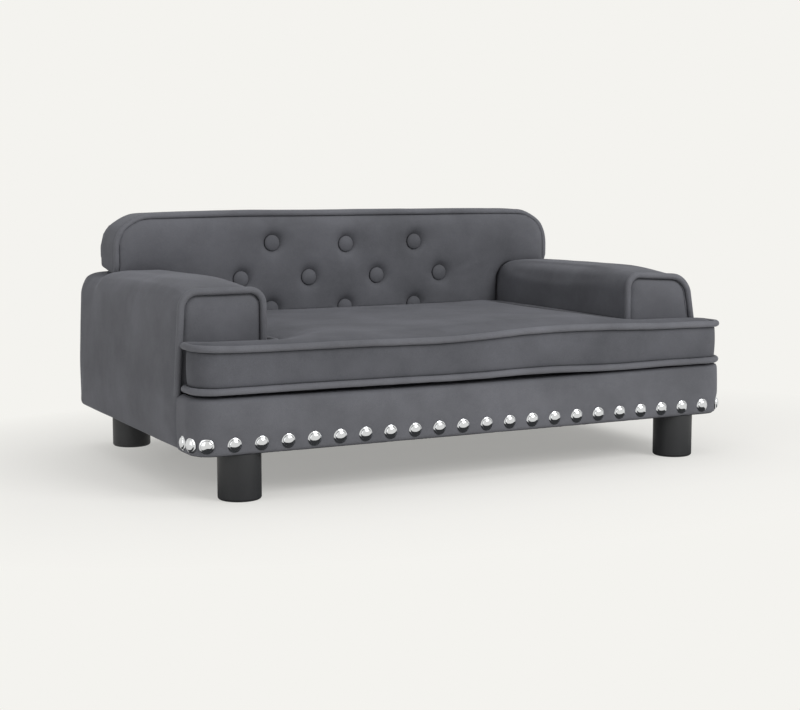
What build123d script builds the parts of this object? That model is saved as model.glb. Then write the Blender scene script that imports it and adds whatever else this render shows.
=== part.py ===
from build123d import *
import math
import os

# Dog sofa bed: a plywood box on four legs, padded and covered in velvet, with two arms,
# a buttoned backrest whose wings lie on the arms, and a loose T-shaped seat cushion.
# Millimetres. +Z is up, the front faces -Y, and the origin is on the floor under the middle.

# Overall size
sofa_width = 700.0
sofa_depth = 450.0
sofa_height = 300.0

# Clearances and working values
soft_gap = 0.3  # between soft pieces that only touch
fit_gap = 0.1  # round welts in their grooves and pins in their holes
overrun = 5.0  # how far a cutting tool runs past a face
least_radius = 1.5

# Velvet, wadding and welts
padding = 8.0  # velvet with its wadding over the boards
welt_radius = 4.0
welt_proud = 3.0  # how far a welt stands out of the faces that it joins

# Legs
leg_height = 52.0
leg_diameter = 48.0
leg_edge_radius = 3.0
leg_from_side = 60.0
leg_nut_clearance_front = 1.0  # from the nut's flange to the front rail
leg_nut_clearance_rear = 2.0
stud_diameter = 8.0
stud_in_leg = 24.0
stud_above_board = 5.0
nut_flange_diameter = 18.0
nut_flange_thickness = 1.5
nut_barrel_diameter = 11.0
nut_barrel_length = 12.0

# Base box
dust_cover_thickness = 1.0
base_board_thickness = 18.0
rail_height = 29.0
rail_thickness = 9.0
board_thickness = 12.0
deck_thickness = 9.0
deck_cover_thickness = 3.0
border_setback = 5.0  # front border behind the front of the cushion
front_corner_radius = 28.0
rear_corner_radius = 30.0
border_edge_radius = 5.0
cleat_size = 12.0

# Arms
arm_width = 109.0
arm_setback = 60.0  # arm fronts behind the front of the cushion
arm_below_top = 76.0  # front of the arms below the top of the back
arm_rise_middle = 6.0  # above the front of the arm
arm_rise_rear = 3.0
arm_middle_share = 0.35  # where the arm is highest, along its length
arm_lean_front = 11.0  # how far the outer side leans in
arm_lean_rear = 5.0
arm_inner_radius = 18.0
arm_outer_radius_front = 26.0
arm_outer_radius_rear = 34.0
arm_knee_radius = 150.0
arm_foam_depth = 39.0
arm_cover_thickness = 5.0
slat_thickness = 9.0
slat_setback = 4.0
facing_crown = 2.0
facing_crown_inset = 6.0

# Backrest
wing_from_side = 31.0
back_depth = 80.0  # from the outside back to the foremost part of the buttoned face
back_crown = 12.0
back_head_radius = 42.0
back_shoulder_radius = 14.0
back_tail_radius = 12.0
boxing_thickness = 6.0
outside_back_radius = 4.0

# Buttons
button_diameter = 21.5
button_height = 5.0
button_side = 1.5
button_rows = 3
button_spacing = 105.0
button_spacing_staggered = 98.0  # in the row of four
top_row_below_top = 43.0
bottom_row_above_deck = 62.0
dimple_depth = 7.0
dimple_diameter = 44.0
dimple_floor_margin = 1.0
tie_diameter = 2.0
tie_hole_diameter = 3.0

# Seat cushion
cushion_foot = 7.0  # from its underside to the lower welt
cushion_boxing = 48.0  # between the two welts
cushion_crown = 8.0
cushion_draw_in = 3.0  # how far the boxing pulls in between the welts
cushion_front_radius = 30.0
cushion_ear_radius = 12.0
cushion_notch_radius = 3.0
cushion_tail_radius = 14.0
core_inset = 16.0
core_foot = 4.0
core_head = 2.0

# A crowned panel: shares of the depth of its narrowest part, and of its rise
crown_shares = ((0.0, 0.0), (0.07, 0.5), (0.19, 0.86), (0.35, 1.0))

# Zip of the cushion cover
zip_length = 320.0
zip_tape_height = 22.0
zip_tape_thickness = 1.0
zip_tape_margin = 8.0
zip_recess = 0.5
zip_coil_height = 5.0
zip_coil_thickness = 1.5
slider_length = 12.0
slider_wall = 1.2
slider_bridge_height = 1.0
slider_bridge_share = 0.6

# Nails, screws and staples
nail_diameter = 16.0
nail_height = 4.6
nail_shank_diameter = 2.0
nail_shank_length = 16.0
nail_from_bottom = 12.0
nail_from_side = 9.0  # along the border, for the last one before the closer ones
nails_each_side = 11  # evenly spaced, each side of the middle one
corner_nail_spacing = 19.5
corner_nails = 2
screw_diameter = 4.0
screw_head_diameter = 8.0
screw_length = 28.0
screws_per_rail = 4
staple_width = 10.0
staple_wire = 0.8
staple_from_edge = 9.0
staples_long_side = 8
staples_short_side = 4

# Levels and planes that several pieces share
half_width = sofa_width / 2
front_y = -sofa_depth / 2
rear_y = sofa_depth / 2
border_y = front_y + border_setback
arm_y = front_y + arm_setback
core_rear_y = rear_y - padding
panel_y = core_rear_y - board_thickness
back_front_y = rear_y - back_depth
back_seam_y = back_front_y + back_crown
board_bottom = leg_height + dust_cover_thickness
board_top = board_bottom + base_board_thickness
deck_bottom = board_top + rail_height
deck_top = deck_bottom + deck_thickness
seat_level = deck_top + deck_cover_thickness
arm_top_front = sofa_height - arm_below_top
arm_top_middle = arm_top_front + arm_rise_middle
arm_top_rear = arm_top_front + arm_rise_rear
arm_frame_top = arm_top_front - arm_foam_depth
seat_half = half_width - arm_width
wing_underside = arm_top_rear + soft_gap
seam_inset = welt_radius  # from a welt's outermost line to its centre line


def block(x, y, z):
    """Box between two limits on each axis."""
    size = Box(x[1] - x[0], y[1] - y[0], z[1] - z[0])
    return Pos((x[0] + x[1]) / 2, (y[0] + y[1]) / 2, (z[0] + z[1]) / 2) * size


def both_sides(piece):
    """A piece and its mirror image across the middle of the sofa."""
    return piece, mirror(piece, about=Plane.YZ)


def cap_radius(half, rise):
    """Radius of the ball that has a cap of a given half width and rise."""
    return (half * half + rise * rise) / (2 * rise)


def tube_along(path, radius):
    """Round tube along a line of straights and arcs."""
    start = Plane(origin=path @ 0, z_dir=path % 0)
    return sweep(start * Circle(radius), path=path)


def level(z):
    """Plane at a height, drawn with its own y towards the front of the sofa."""
    return Plane(origin=(0, 0, z), x_dir=(1, 0, 0), z_dir=(0, 0, -1))


def upright(y):
    """Plane across the sofa, seen from the front, with its own y upwards."""
    return Plane(origin=(0, y, 0), x_dir=(1, 0, 0), z_dir=(0, -1, 0))


def drawn_in(radius, inset):
    """Radius of a convex corner whose outline is drawn inwards."""
    return max(radius - inset, least_radius)


def tee_line(plane, tee, inset):
    """Closed T outline with rounded corners, drawn inwards by an inset."""
    wide = tee["wide"] - inset
    narrow = tee["narrow"] - inset
    tail = tee["tail"] + inset
    step = tee["step"] + inset
    head = tee["head"] - inset
    corners = [
        (narrow, tail),
        (narrow, step),
        (wide, step),
        (wide, head),
        (-wide, head),
        (-wide, step),
        (-narrow, step),
        (-narrow, tail),
    ]
    tail_radius = drawn_in(tee["tail_radius"], inset)
    notch_radius = tee["notch_radius"] + inset
    shoulder_radius = drawn_in(tee["shoulder_radius"], inset)
    head_radius = drawn_in(tee["head_radius"], inset)
    right = [tail_radius, notch_radius, shoulder_radius, head_radius]
    return plane * FilletPolyline(*corners, radius=right + right[::-1], close=True)


def tee_block(plane, tee, inset, thickness):
    """T-shaped slab that grows along the plane's normal."""
    return extrude(make_face(tee_line(plane, tee, inset)), thickness, dir=plane.z_dir)


def tee_crown(plane, tee, inset, narrow_depth, rise):
    """Crowned T-shaped panel: outlines that draw in as they rise along the plane's normal."""
    outlines = []
    for inset_share, rise_share in crown_shares:
        lifted = plane.offset(rise * rise_share)
        outlines.append(make_face(tee_line(lifted, tee, inset + narrow_depth * inset_share)))
    return loft(outlines)


def base_plan(inset):
    """Plan of the base with its rounded corners, drawn inwards by an inset."""
    depth = rear_y - border_y
    plan = Pos(0, (rear_y + border_y) / 2) * Rectangle(sofa_width - 2 * inset, depth - 2 * inset)
    plan = fillet(plan.vertices().group_by(Axis.Y)[0], drawn_in(front_corner_radius, inset))
    return fillet(plan.vertices().group_by(Axis.Y)[-1], drawn_in(rear_corner_radius, inset))


def base_block(inset, bottom, top):
    """Slab with the plan of the base."""
    return Pos(0, 0, bottom) * extrude(base_plan(inset), top - bottom)


# Outlines of the two T-shaped pieces. Each is the outermost line of its welts.
back_tee = {
    "wide": half_width - wing_from_side,
    "narrow": seat_half - soft_gap,
    "tail": deck_top,
    "step": wing_underside,
    "head": sofa_height,
    "tail_radius": back_tail_radius,
    "notch_radius": arm_inner_radius + soft_gap,
    "shoulder_radius": back_shoulder_radius,
    "head_radius": back_head_radius,
}
cushion_tee = {
    "wide": half_width,
    "narrow": seat_half - welt_proud - soft_gap,
    "tail": -back_front_y + soft_gap,
    "step": -arm_y + welt_proud + soft_gap,
    "head": -front_y,
    "tail_radius": cushion_tail_radius,
    "notch_radius": cushion_notch_radius,
    "shoulder_radius": cushion_ear_radius,
    "head_radius": cushion_front_radius,
}
deck_tee = {
    "wide": half_width - padding,
    "narrow": seat_half,
    "tail": -back_front_y,
    "step": -arm_y,
    "head": -border_y - padding,
    "tail_radius": least_radius,
    "notch_radius": 0,
    "shoulder_radius": least_radius,
    "head_radius": front_corner_radius - padding,
}
wing_height = sofa_height - wing_underside
ear_depth = cushion_tee["head"] - cushion_tee["step"]


# Legs with their studs and the nuts in the base board
leg_x = half_width - leg_from_side
rail_rear_y = border_y + padding + rail_thickness
front_leg_y = rail_rear_y + leg_nut_clearance_front + nut_flange_diameter / 2
rear_leg_y = panel_y - rail_thickness - leg_nut_clearance_rear - nut_flange_diameter / 2
leg_places = {
    "front_left": (-leg_x, front_leg_y),
    "front_right": (leg_x, front_leg_y),
    "rear_left": (-leg_x, rear_leg_y),
    "rear_right": (leg_x, rear_leg_y),
}


def upright_rod(place, radius, bottom, top):
    """Upright rod at a place on the plan."""
    rod = Cylinder(radius, top - bottom)
    return Pos(place[0], place[1], (bottom + top) / 2) * rod


def make_leg(place):
    """Turned plastic leg with an eased foot and a blind hole for its stud."""
    leg = upright_rod(place, leg_diameter / 2, 0, leg_height)
    leg = fillet(leg.edges().group_by(Axis.Z)[0], leg_edge_radius)
    hole_bottom = leg_height - stud_in_leg
    return leg - upright_rod(place, stud_diameter / 2 + fit_gap, hole_bottom, leg_height + overrun)


def make_studs():
    bottom = leg_height - stud_in_leg
    top = board_top + nut_flange_thickness + stud_above_board
    return [upright_rod(place, stud_diameter / 2, bottom, top) for place in leg_places.values()]


def make_leg_nuts():
    """Flanged nuts hammered into the base board from above."""
    nuts = []
    flange_top = board_top + nut_flange_thickness
    for place in leg_places.values():
        barrel = upright_rod(place, nut_barrel_diameter / 2, board_top - nut_barrel_length, flange_top)
        flange = upright_rod(place, nut_flange_diameter / 2, board_top, flange_top)
        bore = upright_rod(place, stud_diameter / 2 + fit_gap, leg_height, flange_top + overrun)
        nuts.append(barrel + flange - bore)
    return nuts


# Chrome nails along the front border, round the corners to the arm fronts
corner_x = half_width - front_corner_radius
corner_y = border_y + front_corner_radius
nail_z = leg_height + nail_from_bottom


def border_place(along):
    """Place and outward direction, in degrees, at a distance along the border from its middle."""
    side = math.copysign(1, along)
    past = max(abs(along) - corner_x, 0)
    angle = min(past / front_corner_radius, math.pi / 2)
    x = abs(along) - past + front_corner_radius * math.sin(angle)
    y = corner_y - front_corner_radius * math.cos(angle)
    y += past - front_corner_radius * angle
    return side * x, y, side * math.degrees(angle) - 90.0


def nail_places():
    last = half_width - nail_from_side
    spacing = last / nails_each_side
    even = [border_place(step * spacing) for step in range(-nails_each_side, nails_each_side + 1)]
    turns = [last + turn * corner_nail_spacing for turn in range(1, corner_nails + 1)]
    return even + [border_place(side * along) for side in (-1, 1) for along in turns]


def make_nail():
    """Domed nail whose head lies on the border at x = 0 and whose shank points to -X."""
    half = nail_diameter / 2
    outline = [
        Line((0, 0), (0, nail_height)),
        RadiusArc((0, nail_height), (half, 0), cap_radius(half, nail_height)),
        Line((half, 0), (0, 0)),
    ]
    head = revolve(make_face(Curve() + outline), Axis.Y)
    shank = Pos(0, -nail_shank_length / 2, 0) * Rot(90, 0, 0) * Cylinder(
        nail_shank_diameter / 2, nail_shank_length
    )
    return Rot(0, 0, -90) * (head + shank)


def make_nails():
    nail = make_nail()
    return [Pos(x, y, nail_z) * Rot(0, 0, angle) * nail for x, y, angle in nail_places()]


def nail_holes():
    """Cutters for the nails' shanks in the border and the base board."""
    length = nail_shank_length + overrun
    hole = Rot(0, 90, 0) * Cylinder(nail_shank_diameter / 2 + fit_gap, length)
    hole = Pos(overrun / 2 - nail_shank_length / 2, 0, 0) * hole
    return [Pos(x, y, nail_z) * Rot(0, 0, angle) * hole for x, y, angle in nail_places()]


# Base: boards, corner blocks, deck and the padded front border
def make_base_board():
    board = base_block(padding, board_bottom, board_top)
    for place in leg_places.values():
        board -= upright_rod(place, nut_barrel_diameter / 2 + fit_gap, leg_height, board_top + overrun)
    return board - nail_holes()


def make_dust_cover():
    """Black underside cloth with a hole at each leg stud."""
    cover = base_block(padding, leg_height, board_bottom)
    for place in leg_places.values():
        cover -= upright_rod(place, stud_diameter / 2 + fit_gap, 0, board_top)
    return cover


def make_staples():
    """Wire staples that hold the underside cloth along its edges."""
    staples = []
    x_edge = half_width - padding - staple_from_edge
    y_front = border_y + padding + staple_from_edge
    y_rear = core_rear_y - staple_from_edge
    clear = leg_diameter / 2 + staple_width
    x_reach = leg_x - clear
    y_reach = (front_leg_y + clear, rear_leg_y - clear)
    lying = Box(staple_width, staple_wire, staple_wire)
    standing = Box(staple_wire, staple_width, staple_wire)
    z = leg_height - staple_wire / 2
    for step in range(staples_long_side):
        x = -x_reach + 2 * x_reach * (step + 1 / 2) / staples_long_side
        staples += [Pos(x, y, z) * lying for y in (y_front, y_rear)]
    for step in range(staples_short_side):
        y = y_reach[0] + (y_reach[1] - y_reach[0]) * (step + 1 / 2) / staples_short_side
        staples += [Pos(x, y, z) * standing for x in (-x_edge, x_edge)]
    return staples


def make_front_rail():
    y = (border_y + padding, rail_rear_y)
    return block((-corner_x, corner_x), y, (board_top, deck_bottom))


def make_rear_rail():
    reach = half_width - padding - board_thickness
    return block((-reach, reach), (panel_y - rail_thickness, panel_y), (board_top, deck_bottom))


def make_corner_block():
    """Quarter-round block behind the rounded front corner, on the right."""
    corner = base_block(padding, board_top, deck_bottom)
    x = (corner_x, half_width)
    return corner & block(x, (front_y, corner_y), (board_top, deck_bottom))


def make_side_panel():
    """Right side board: one piece from the base board up into the arm."""
    x = (half_width - padding - board_thickness, half_width - padding)
    low = block(x, (corner_y, panel_y), (board_top, deck_top))
    high = block(x, (arm_y + padding, panel_y), (board_top, arm_frame_top))
    return (low + high) & base_block(padding, board_top, arm_frame_top)


def make_side_cleat():
    outer = half_width - padding - board_thickness
    y = (corner_y, panel_y - rail_thickness)
    return block((outer - cleat_size, outer), y, (deck_bottom - cleat_size, deck_bottom))


def make_back_panel():
    """Plywood back: full width behind the arms, then a neck and the two wings."""
    reach = half_width - padding
    low = block((-reach, reach), (panel_y, core_rear_y), (board_top, arm_frame_top))
    low &= base_block(padding, board_top, arm_frame_top)
    high = tee_block(upright(core_rear_y), back_tee, welt_proud + boxing_thickness, board_thickness)
    return low + high - tie_holes()


def screw_places():
    """Screws through the deck into the front and rear rails."""
    places = []
    for y in (rail_rear_y - rail_thickness / 2, panel_y - rail_thickness / 2):
        for step in range(screws_per_rail):
            x = -corner_x + 2 * corner_x * (step + 1 / 2) / screws_per_rail
            places.append((x, y))
    return places


def make_screw(place, extra):
    """Countersunk screw, flush with the top of the deck."""
    shank_top = deck_top - screw_head_diameter / 2 + screw_diameter / 2
    shank = upright_rod(place, screw_diameter / 2 + extra, deck_top - screw_length - extra, shank_top)
    cone = Cone(screw_diameter / 2 + extra, screw_head_diameter / 2 + extra, deck_top - shank_top)
    return shank + Pos(place[0], place[1], (shank_top + deck_top) / 2) * cone


def with_screw_holes(piece):
    return piece - [make_screw(place, fit_gap) for place in screw_places()]


def make_deck(side_panels, back_panel):
    """Plywood seat deck, cut round the side boards and the back."""
    deck = base_block(padding, deck_bottom, deck_top)
    deck -= block((-sofa_width, sofa_width), (panel_y, rear_y), (deck_bottom, deck_top))
    for panel in side_panels:
        deck -= panel
    return with_screw_holes(deck)


def make_deck_cover():
    return tee_block(level(seat_level), deck_tee, 0, deck_cover_thickness)


def make_front_border():
    """Padded velvet border round the front, from one arm seam to the other."""
    band = base_block(0, leg_height, seat_level) - base_block(padding, leg_height, seat_level)
    reach = (-half_width - overrun, half_width + overrun)
    band &= block(reach, (front_y - overrun, arm_y), (leg_height, seat_level))
    outer = [
        edge
        for edge in band.edges().group_by(Axis.Z)[0] + band.edges().group_by(Axis.Z)[-1]
        if edge.distance_to(base_plan_line(edge.center().Z)) < fit_gap
        and abs(edge.center().Y - arm_y) > fit_gap
    ]
    return fillet(outer, border_edge_radius) - nail_holes()


def base_plan_line(z):
    """Outer edge of the base at a height."""
    return Pos(0, 0, z) * base_plan(0).wire()


# Arms, modelled on the right and mirrored
arm_stations = (
    (arm_y, arm_top_front, arm_lean_front, arm_outer_radius_front),
    (
        arm_y + (rear_y - arm_y) * arm_middle_share,
        arm_top_middle,
        arm_lean_front,
        arm_outer_radius_front,
    ),
    (back_front_y, arm_top_rear, arm_lean_rear, arm_outer_radius_rear),
)


def arm_outline(station, inset, bottom):
    """Section across the right arm at a station, drawn inwards by an inset."""
    y, top, lean, outer_radius = station
    corners = [
        (seat_half + inset, bottom),
        (seat_half + inset, top - inset),
        (half_width - lean - inset, top - inset),
        (half_width - inset, seat_level),
        (half_width - inset, bottom - overrun),
        (seat_half + inset, bottom - overrun),
    ]
    inner_radius = drawn_in(arm_inner_radius, inset)
    radii = [0, inner_radius, drawn_in(outer_radius, inset), arm_knee_radius, 0, 0]
    return make_face(upright(y) * FilletPolyline(*corners, radius=radii, close=True))


def arm_form(inset):
    """Outer form of the right arm, from its front seam to the back of the sofa."""
    outlines = [arm_outline(station, inset, leg_height) for station in arm_stations]
    beside_back = extrude(outlines[-1], back_depth, dir=(0, 1, 0))
    return (loft(outlines) + beside_back) & base_block(inset, leg_height, sofa_height)


def arm_box():
    """The wooden box inside the right arm, with the slat that lies on it."""
    x = (seat_half + padding, half_width - padding)
    y = (arm_y + padding, panel_y)
    return block(x, y, (deck_top, arm_frame_top)) + make_arm_slat()


def make_arm_slat():
    x = (seat_half + padding, half_width - padding - slat_setback)
    y = (arm_y + padding, panel_y)
    return block(x, y, (arm_frame_top, arm_frame_top + slat_thickness))


def make_arm_front_panel():
    x = (seat_half + padding, half_width - padding - board_thickness)
    y = (arm_y + padding, arm_y + padding + board_thickness)
    return block(x, y, (deck_top, arm_frame_top))


def make_arm_inner_panel():
    x = (seat_half + padding, seat_half + padding + board_thickness)
    y = (arm_y + padding + board_thickness, panel_y)
    return block(x, y, (deck_top, arm_frame_top))


def make_arm_foam():
    room = block((0, half_width), (arm_y + padding, core_rear_y), (arm_frame_top, sofa_height))
    return (arm_form(arm_cover_thickness) & room) - make_arm_slat()


def arm_seam():
    """Line of the welt round the front of the right arm."""
    side = welt_radius - welt_proud
    foot = seat_level + soft_gap
    top = arm_top_front - side
    corners = [
        (seat_half + side, foot),
        (seat_half + side, top),
        (half_width - arm_lean_front - side, top),
        (half_width - side, foot),
    ]
    radii = [arm_inner_radius - side, arm_outer_radius_front - side]
    return upright(arm_y + side) * FilletPolyline(*corners, radius=radii)


def make_arm_facing():
    """Front panel of the right arm, slightly crowned inside its welt."""
    room = block((0, half_width), (arm_y, arm_y + padding), (deck_top, sofa_height))
    slab = arm_form(0) & room
    proud = (arm_y - facing_crown, arm_top_front, arm_lean_front, arm_outer_radius_front)
    crown = loft(
        [arm_outline(arm_stations[0], 0, leg_height), arm_outline(proud, facing_crown_inset, leg_height)]
    )
    crown &= block((0, half_width), (arm_y - facing_crown, arm_y), (seat_level, sofa_height))
    return slab + crown - tube_along(arm_seam(), welt_radius + fit_gap)


def make_arm_cover(foam, back_panel, outside_back):
    """Velvet over the right arm, in one piece down the outer side to the bottom of the base."""
    front = block((0, half_width), (arm_y - overrun, arm_y + padding), (deck_top, sofa_height))
    cover = arm_form(0) - arm_box() - foam - front - base_block(padding, leg_height, deck_top)
    cover -= back_panel
    cover -= outside_back
    return cover - tube_along(arm_seam(), welt_radius + fit_gap)


# Backrest: plywood, foam, boxing and a buttoned face between the welt lines
def button_places():
    """Staggered rows: three, four and three buttons."""
    places = []
    top = sofa_height - top_row_below_top
    bottom = deck_top + bottom_row_above_deck
    for row in range(button_rows):
        z = top - row * (top - bottom) / (button_rows - 1)
        staggered = row % 2
        count = button_rows + staggered
        spacing = button_spacing_staggered if staggered else button_spacing
        for column in range(count):
            places.append(((column - (count - 1) / 2) * spacing, z))
    return places


def back_rod(place, radius, front, rear):
    """Rod from front to rear through the backrest."""
    rod = Rot(90, 0, 0) * Cylinder(radius, rear - front)
    return Pos(place[0], (front + rear) / 2, place[1]) * rod


def tie_holes():
    holes = []
    for place in button_places():
        holes.append(back_rod(place, tie_hole_diameter / 2, back_front_y, rear_y - padding + overrun))
    return holes


def back_seam():
    return tee_line(upright(back_seam_y), back_tee, seam_inset)


def back_groove():
    return tube_along(back_seam(), welt_radius + fit_gap)


def make_dimple():
    """Cutter for one tuft: a flat floor, and a wall that rolls out to the face."""
    floor = button_diameter / 2 + dimple_floor_margin
    rim = dimple_diameter / 2
    roll = cap_radius(rim - floor, dimple_depth)
    outline = [
        Line((0, 0), (floor, 0)),
        RadiusArc((floor, 0), (rim, dimple_depth), roll),
        Line((rim, dimple_depth), (rim, dimple_depth + overrun)),
        Line((rim, dimple_depth + overrun), (0, dimple_depth + overrun)),
        Line((0, dimple_depth + overrun), (0, 0)),
    ]
    return revolve(make_face(Curve() + outline), Axis.Y)


def make_back_face():
    """Buttoned front of the backrest: a crowned T panel with ten tufts."""
    body = welt_proud
    face = tee_crown(upright(back_seam_y), back_tee, body, wing_height, back_crown)
    floor_y = back_front_y + dimple_depth
    dimple = Rot(180, 0, 0) * make_dimple()
    face -= [Pos(x, floor_y, z) * dimple for x, z in button_places()]
    return face - tie_holes() - back_groove()


def make_back_foam():
    depth = panel_y - back_seam_y
    inset = welt_proud + boxing_thickness
    return tee_block(upright(panel_y), back_tee, inset, depth) - tie_holes()


def make_back_boxing(back_panel):
    """Band of velvet and wadding round the edge of the backrest, behind its welt."""
    depth = core_rear_y - back_seam_y
    plane = upright(core_rear_y)
    ring = tee_block(plane, back_tee, welt_proud, depth)
    ring -= tee_block(plane, back_tee, welt_proud + boxing_thickness, depth)
    return ring - back_panel - back_groove()


def make_outside_back():
    """Flat velvet panel over the whole rear, from the base to the top of the wings."""
    wide = back_tee["wide"] - welt_proud
    top = sofa_height - welt_proud
    panel = Pos(0, 0, (leg_height + top) / 2) * Box(2 * wide, padding, top - leg_height)
    panel = Pos(0, rear_y - padding / 2, 0) * panel
    corners = panel.edges().filter_by(Axis.Y).group_by(Axis.Z)[-1]
    panel = fillet(corners, back_head_radius - welt_proud)
    rear_edges = panel.faces().sort_by(Axis.Y)[-1].edges()
    return fillet(rear_edges, outside_back_radius)


def make_button():
    """Covered button with a rounded side and a domed front, standing on its floor."""
    half = button_diameter / 2
    outline = [
        Line((0, 0), (0, button_height)),
        RadiusArc((0, button_height), (half, button_side), cap_radius(half, button_height - button_side)),
        Line((half, button_side), (half, 0)),
        Line((half, 0), (0, 0)),
    ]
    return revolve(make_face(Curve() + outline), Axis.Y)


def make_buttons():
    button = Rot(180, 0, 0) * make_button()
    floor_y = back_front_y + dimple_depth
    return [Pos(x, floor_y, z) * button for x, z in button_places()]


def make_button_ties():
    front = back_front_y + dimple_depth
    return [back_rod(place, tie_diameter / 2, front, core_rear_y) for place in button_places()]


# Seat cushion: foam core, crowned velvet cover with two welts, and a zip at the rear
cushion_bottom = seat_level + soft_gap
lower_seam = cushion_bottom + cushion_foot
upper_seam = lower_seam + cushion_boxing
zip_z = (lower_seam + upper_seam) / 2
boxing_y = back_front_y - soft_gap - welt_proud - cushion_draw_in
tape_y = boxing_y - zip_recess


def cushion_seam(z):
    return tee_line(level(z), cushion_tee, seam_inset)


def make_cushion_core():
    top = upper_seam + core_head
    return tee_block(level(top), cushion_tee, core_inset, top - cushion_bottom - core_foot)


def make_cushion_cover(core):
    """Velvet with its fibre wrap: crowned panels above and below a drawn-in boxing."""
    body = welt_proud
    top = mirror(tee_crown(level(-upper_seam), cushion_tee, body, ear_depth, cushion_crown), about=Plane.XY)
    foot = tee_crown(level(lower_seam), cushion_tee, body, ear_depth, cushion_foot)
    waist = [
        make_face(tee_line(level(z), cushion_tee, inset))
        for z, inset in (
            (lower_seam, body),
            (zip_z, body + cushion_draw_in),
            (upper_seam, body),
        )
    ]
    cover = top + foot + loft(waist) - core
    for z in (lower_seam, upper_seam):
        cover -= tube_along(cushion_seam(z), welt_radius + fit_gap)
    return cover - zip_tape_room()


def zip_tape_room():
    """Shallow recess along the rear boxing for the zip tape."""
    reach = zip_length / 2 + zip_tape_margin
    z = (zip_z - zip_tape_height / 2, zip_z + zip_tape_height / 2)
    return block((-reach, reach), (tape_y, back_front_y + overrun), z)


def make_zip_tape():
    reach = zip_length / 2 + zip_tape_margin
    z = (zip_z - zip_tape_height / 2, zip_z + zip_tape_height / 2)
    return block((-reach, reach), (tape_y, tape_y + zip_tape_thickness), z)


def make_zip_coil():
    coil_y = tape_y + zip_tape_thickness
    z = (zip_z - zip_coil_height / 2, zip_z + zip_coil_height / 2)
    return block((-zip_length / 2, zip_length / 2), (coil_y, coil_y + zip_coil_thickness), z)


def make_zip_slider():
    """Tabless slider that hugs the coil from outside, at the closed end of the zip."""
    coil_y = tape_y + zip_tape_thickness
    inside = coil_y + zip_coil_thickness + soft_gap
    half = zip_coil_height / 2 + soft_gap
    x = (-zip_length / 2, slider_length - zip_length / 2)
    z = (zip_z - half - slider_wall, zip_z + half + slider_wall)
    body = block(x, (coil_y + soft_gap, inside + slider_wall), z)
    body -= block(x, (coil_y, inside), (zip_z - half, zip_z + half))
    middle = (x[0] + x[1]) / 2
    reach = slider_length * slider_bridge_share / 2
    top = inside + slider_wall
    bridge = block(
        (middle - reach, middle + reach),
        (top, top + slider_bridge_height),
        (zip_z - slider_wall / 2, zip_z + slider_wall / 2),
    )
    return body + bridge


def save(name, shape):
    """One STEP file for each piece, or for each group of identical pieces."""
    solids = shape.solids() if hasattr(shape, "solids") else [s for p in shape for s in p.solids()]
    whole = solids[0] if len(solids) == 1 else Compound(children=list(solids))
    export_step(whole, os.path.join("parts", name + ".step"))


def save_both(name, piece):
    right, left = both_sides(piece)
    save(name + "_right", right)
    save(name + "_left", left)


os.makedirs("parts", exist_ok=True)

for leg_name, leg_place in leg_places.items():
    save("leg_" + leg_name, make_leg(leg_place))
save("leg_studs", make_studs())
save("leg_nuts", make_leg_nuts())

back_panel = make_back_panel()
side_panel = make_side_panel()
outside_back = make_outside_back()
save("base_board", make_base_board())
save("dust_cover", make_dust_cover())
save("dust_cover_staples", make_staples())
save("front_rail", with_screw_holes(make_front_rail()))
save("rear_rail", with_screw_holes(make_rear_rail()))
save_both("corner_block", make_corner_block())
save_both("side_panel", side_panel)
save_both("side_cleat", make_side_cleat())
save("back_panel", back_panel)
save("seat_deck", make_deck(both_sides(side_panel), back_panel))
save("deck_screws", [make_screw(place, 0) for place in screw_places()])
save("deck_cover", make_deck_cover())
save("front_border", make_front_border())
save("border_nails", make_nails())

arm_foam = make_arm_foam()
save_both("arm_front_panel", make_arm_front_panel())
save_both("arm_inner_panel", make_arm_inner_panel())
save_both("arm_slat", make_arm_slat())
save_both("arm_foam", arm_foam)
save_both("arm_facing", make_arm_facing())
save_both("arm_welt", tube_along(arm_seam(), welt_radius))
save_both("arm_cover", make_arm_cover(arm_foam, back_panel, outside_back))

save("back_foam", make_back_foam())
save("back_face", make_back_face())
save("back_boxing", make_back_boxing(back_panel))
save("back_welt", tube_along(back_seam(), welt_radius))
save("outside_back", outside_back)
save("back_buttons", make_buttons())
save("button_ties", make_button_ties())

cushion_core = make_cushion_core()
save("cushion_core", cushion_core)
save("cushion_cover", make_cushion_cover(cushion_core))
save("cushion_welt_upper", tube_along(cushion_seam(upper_seam), welt_radius))
save("cushion_welt_lower", tube_along(cushion_seam(lower_seam), welt_radius))
save("zip_tape", make_zip_tape())
save("zip_coil", make_zip_coil())
save("zip_slider", make_zip_slider())
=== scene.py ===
import math

import bpy
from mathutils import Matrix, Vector, kdtree, noise


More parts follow.
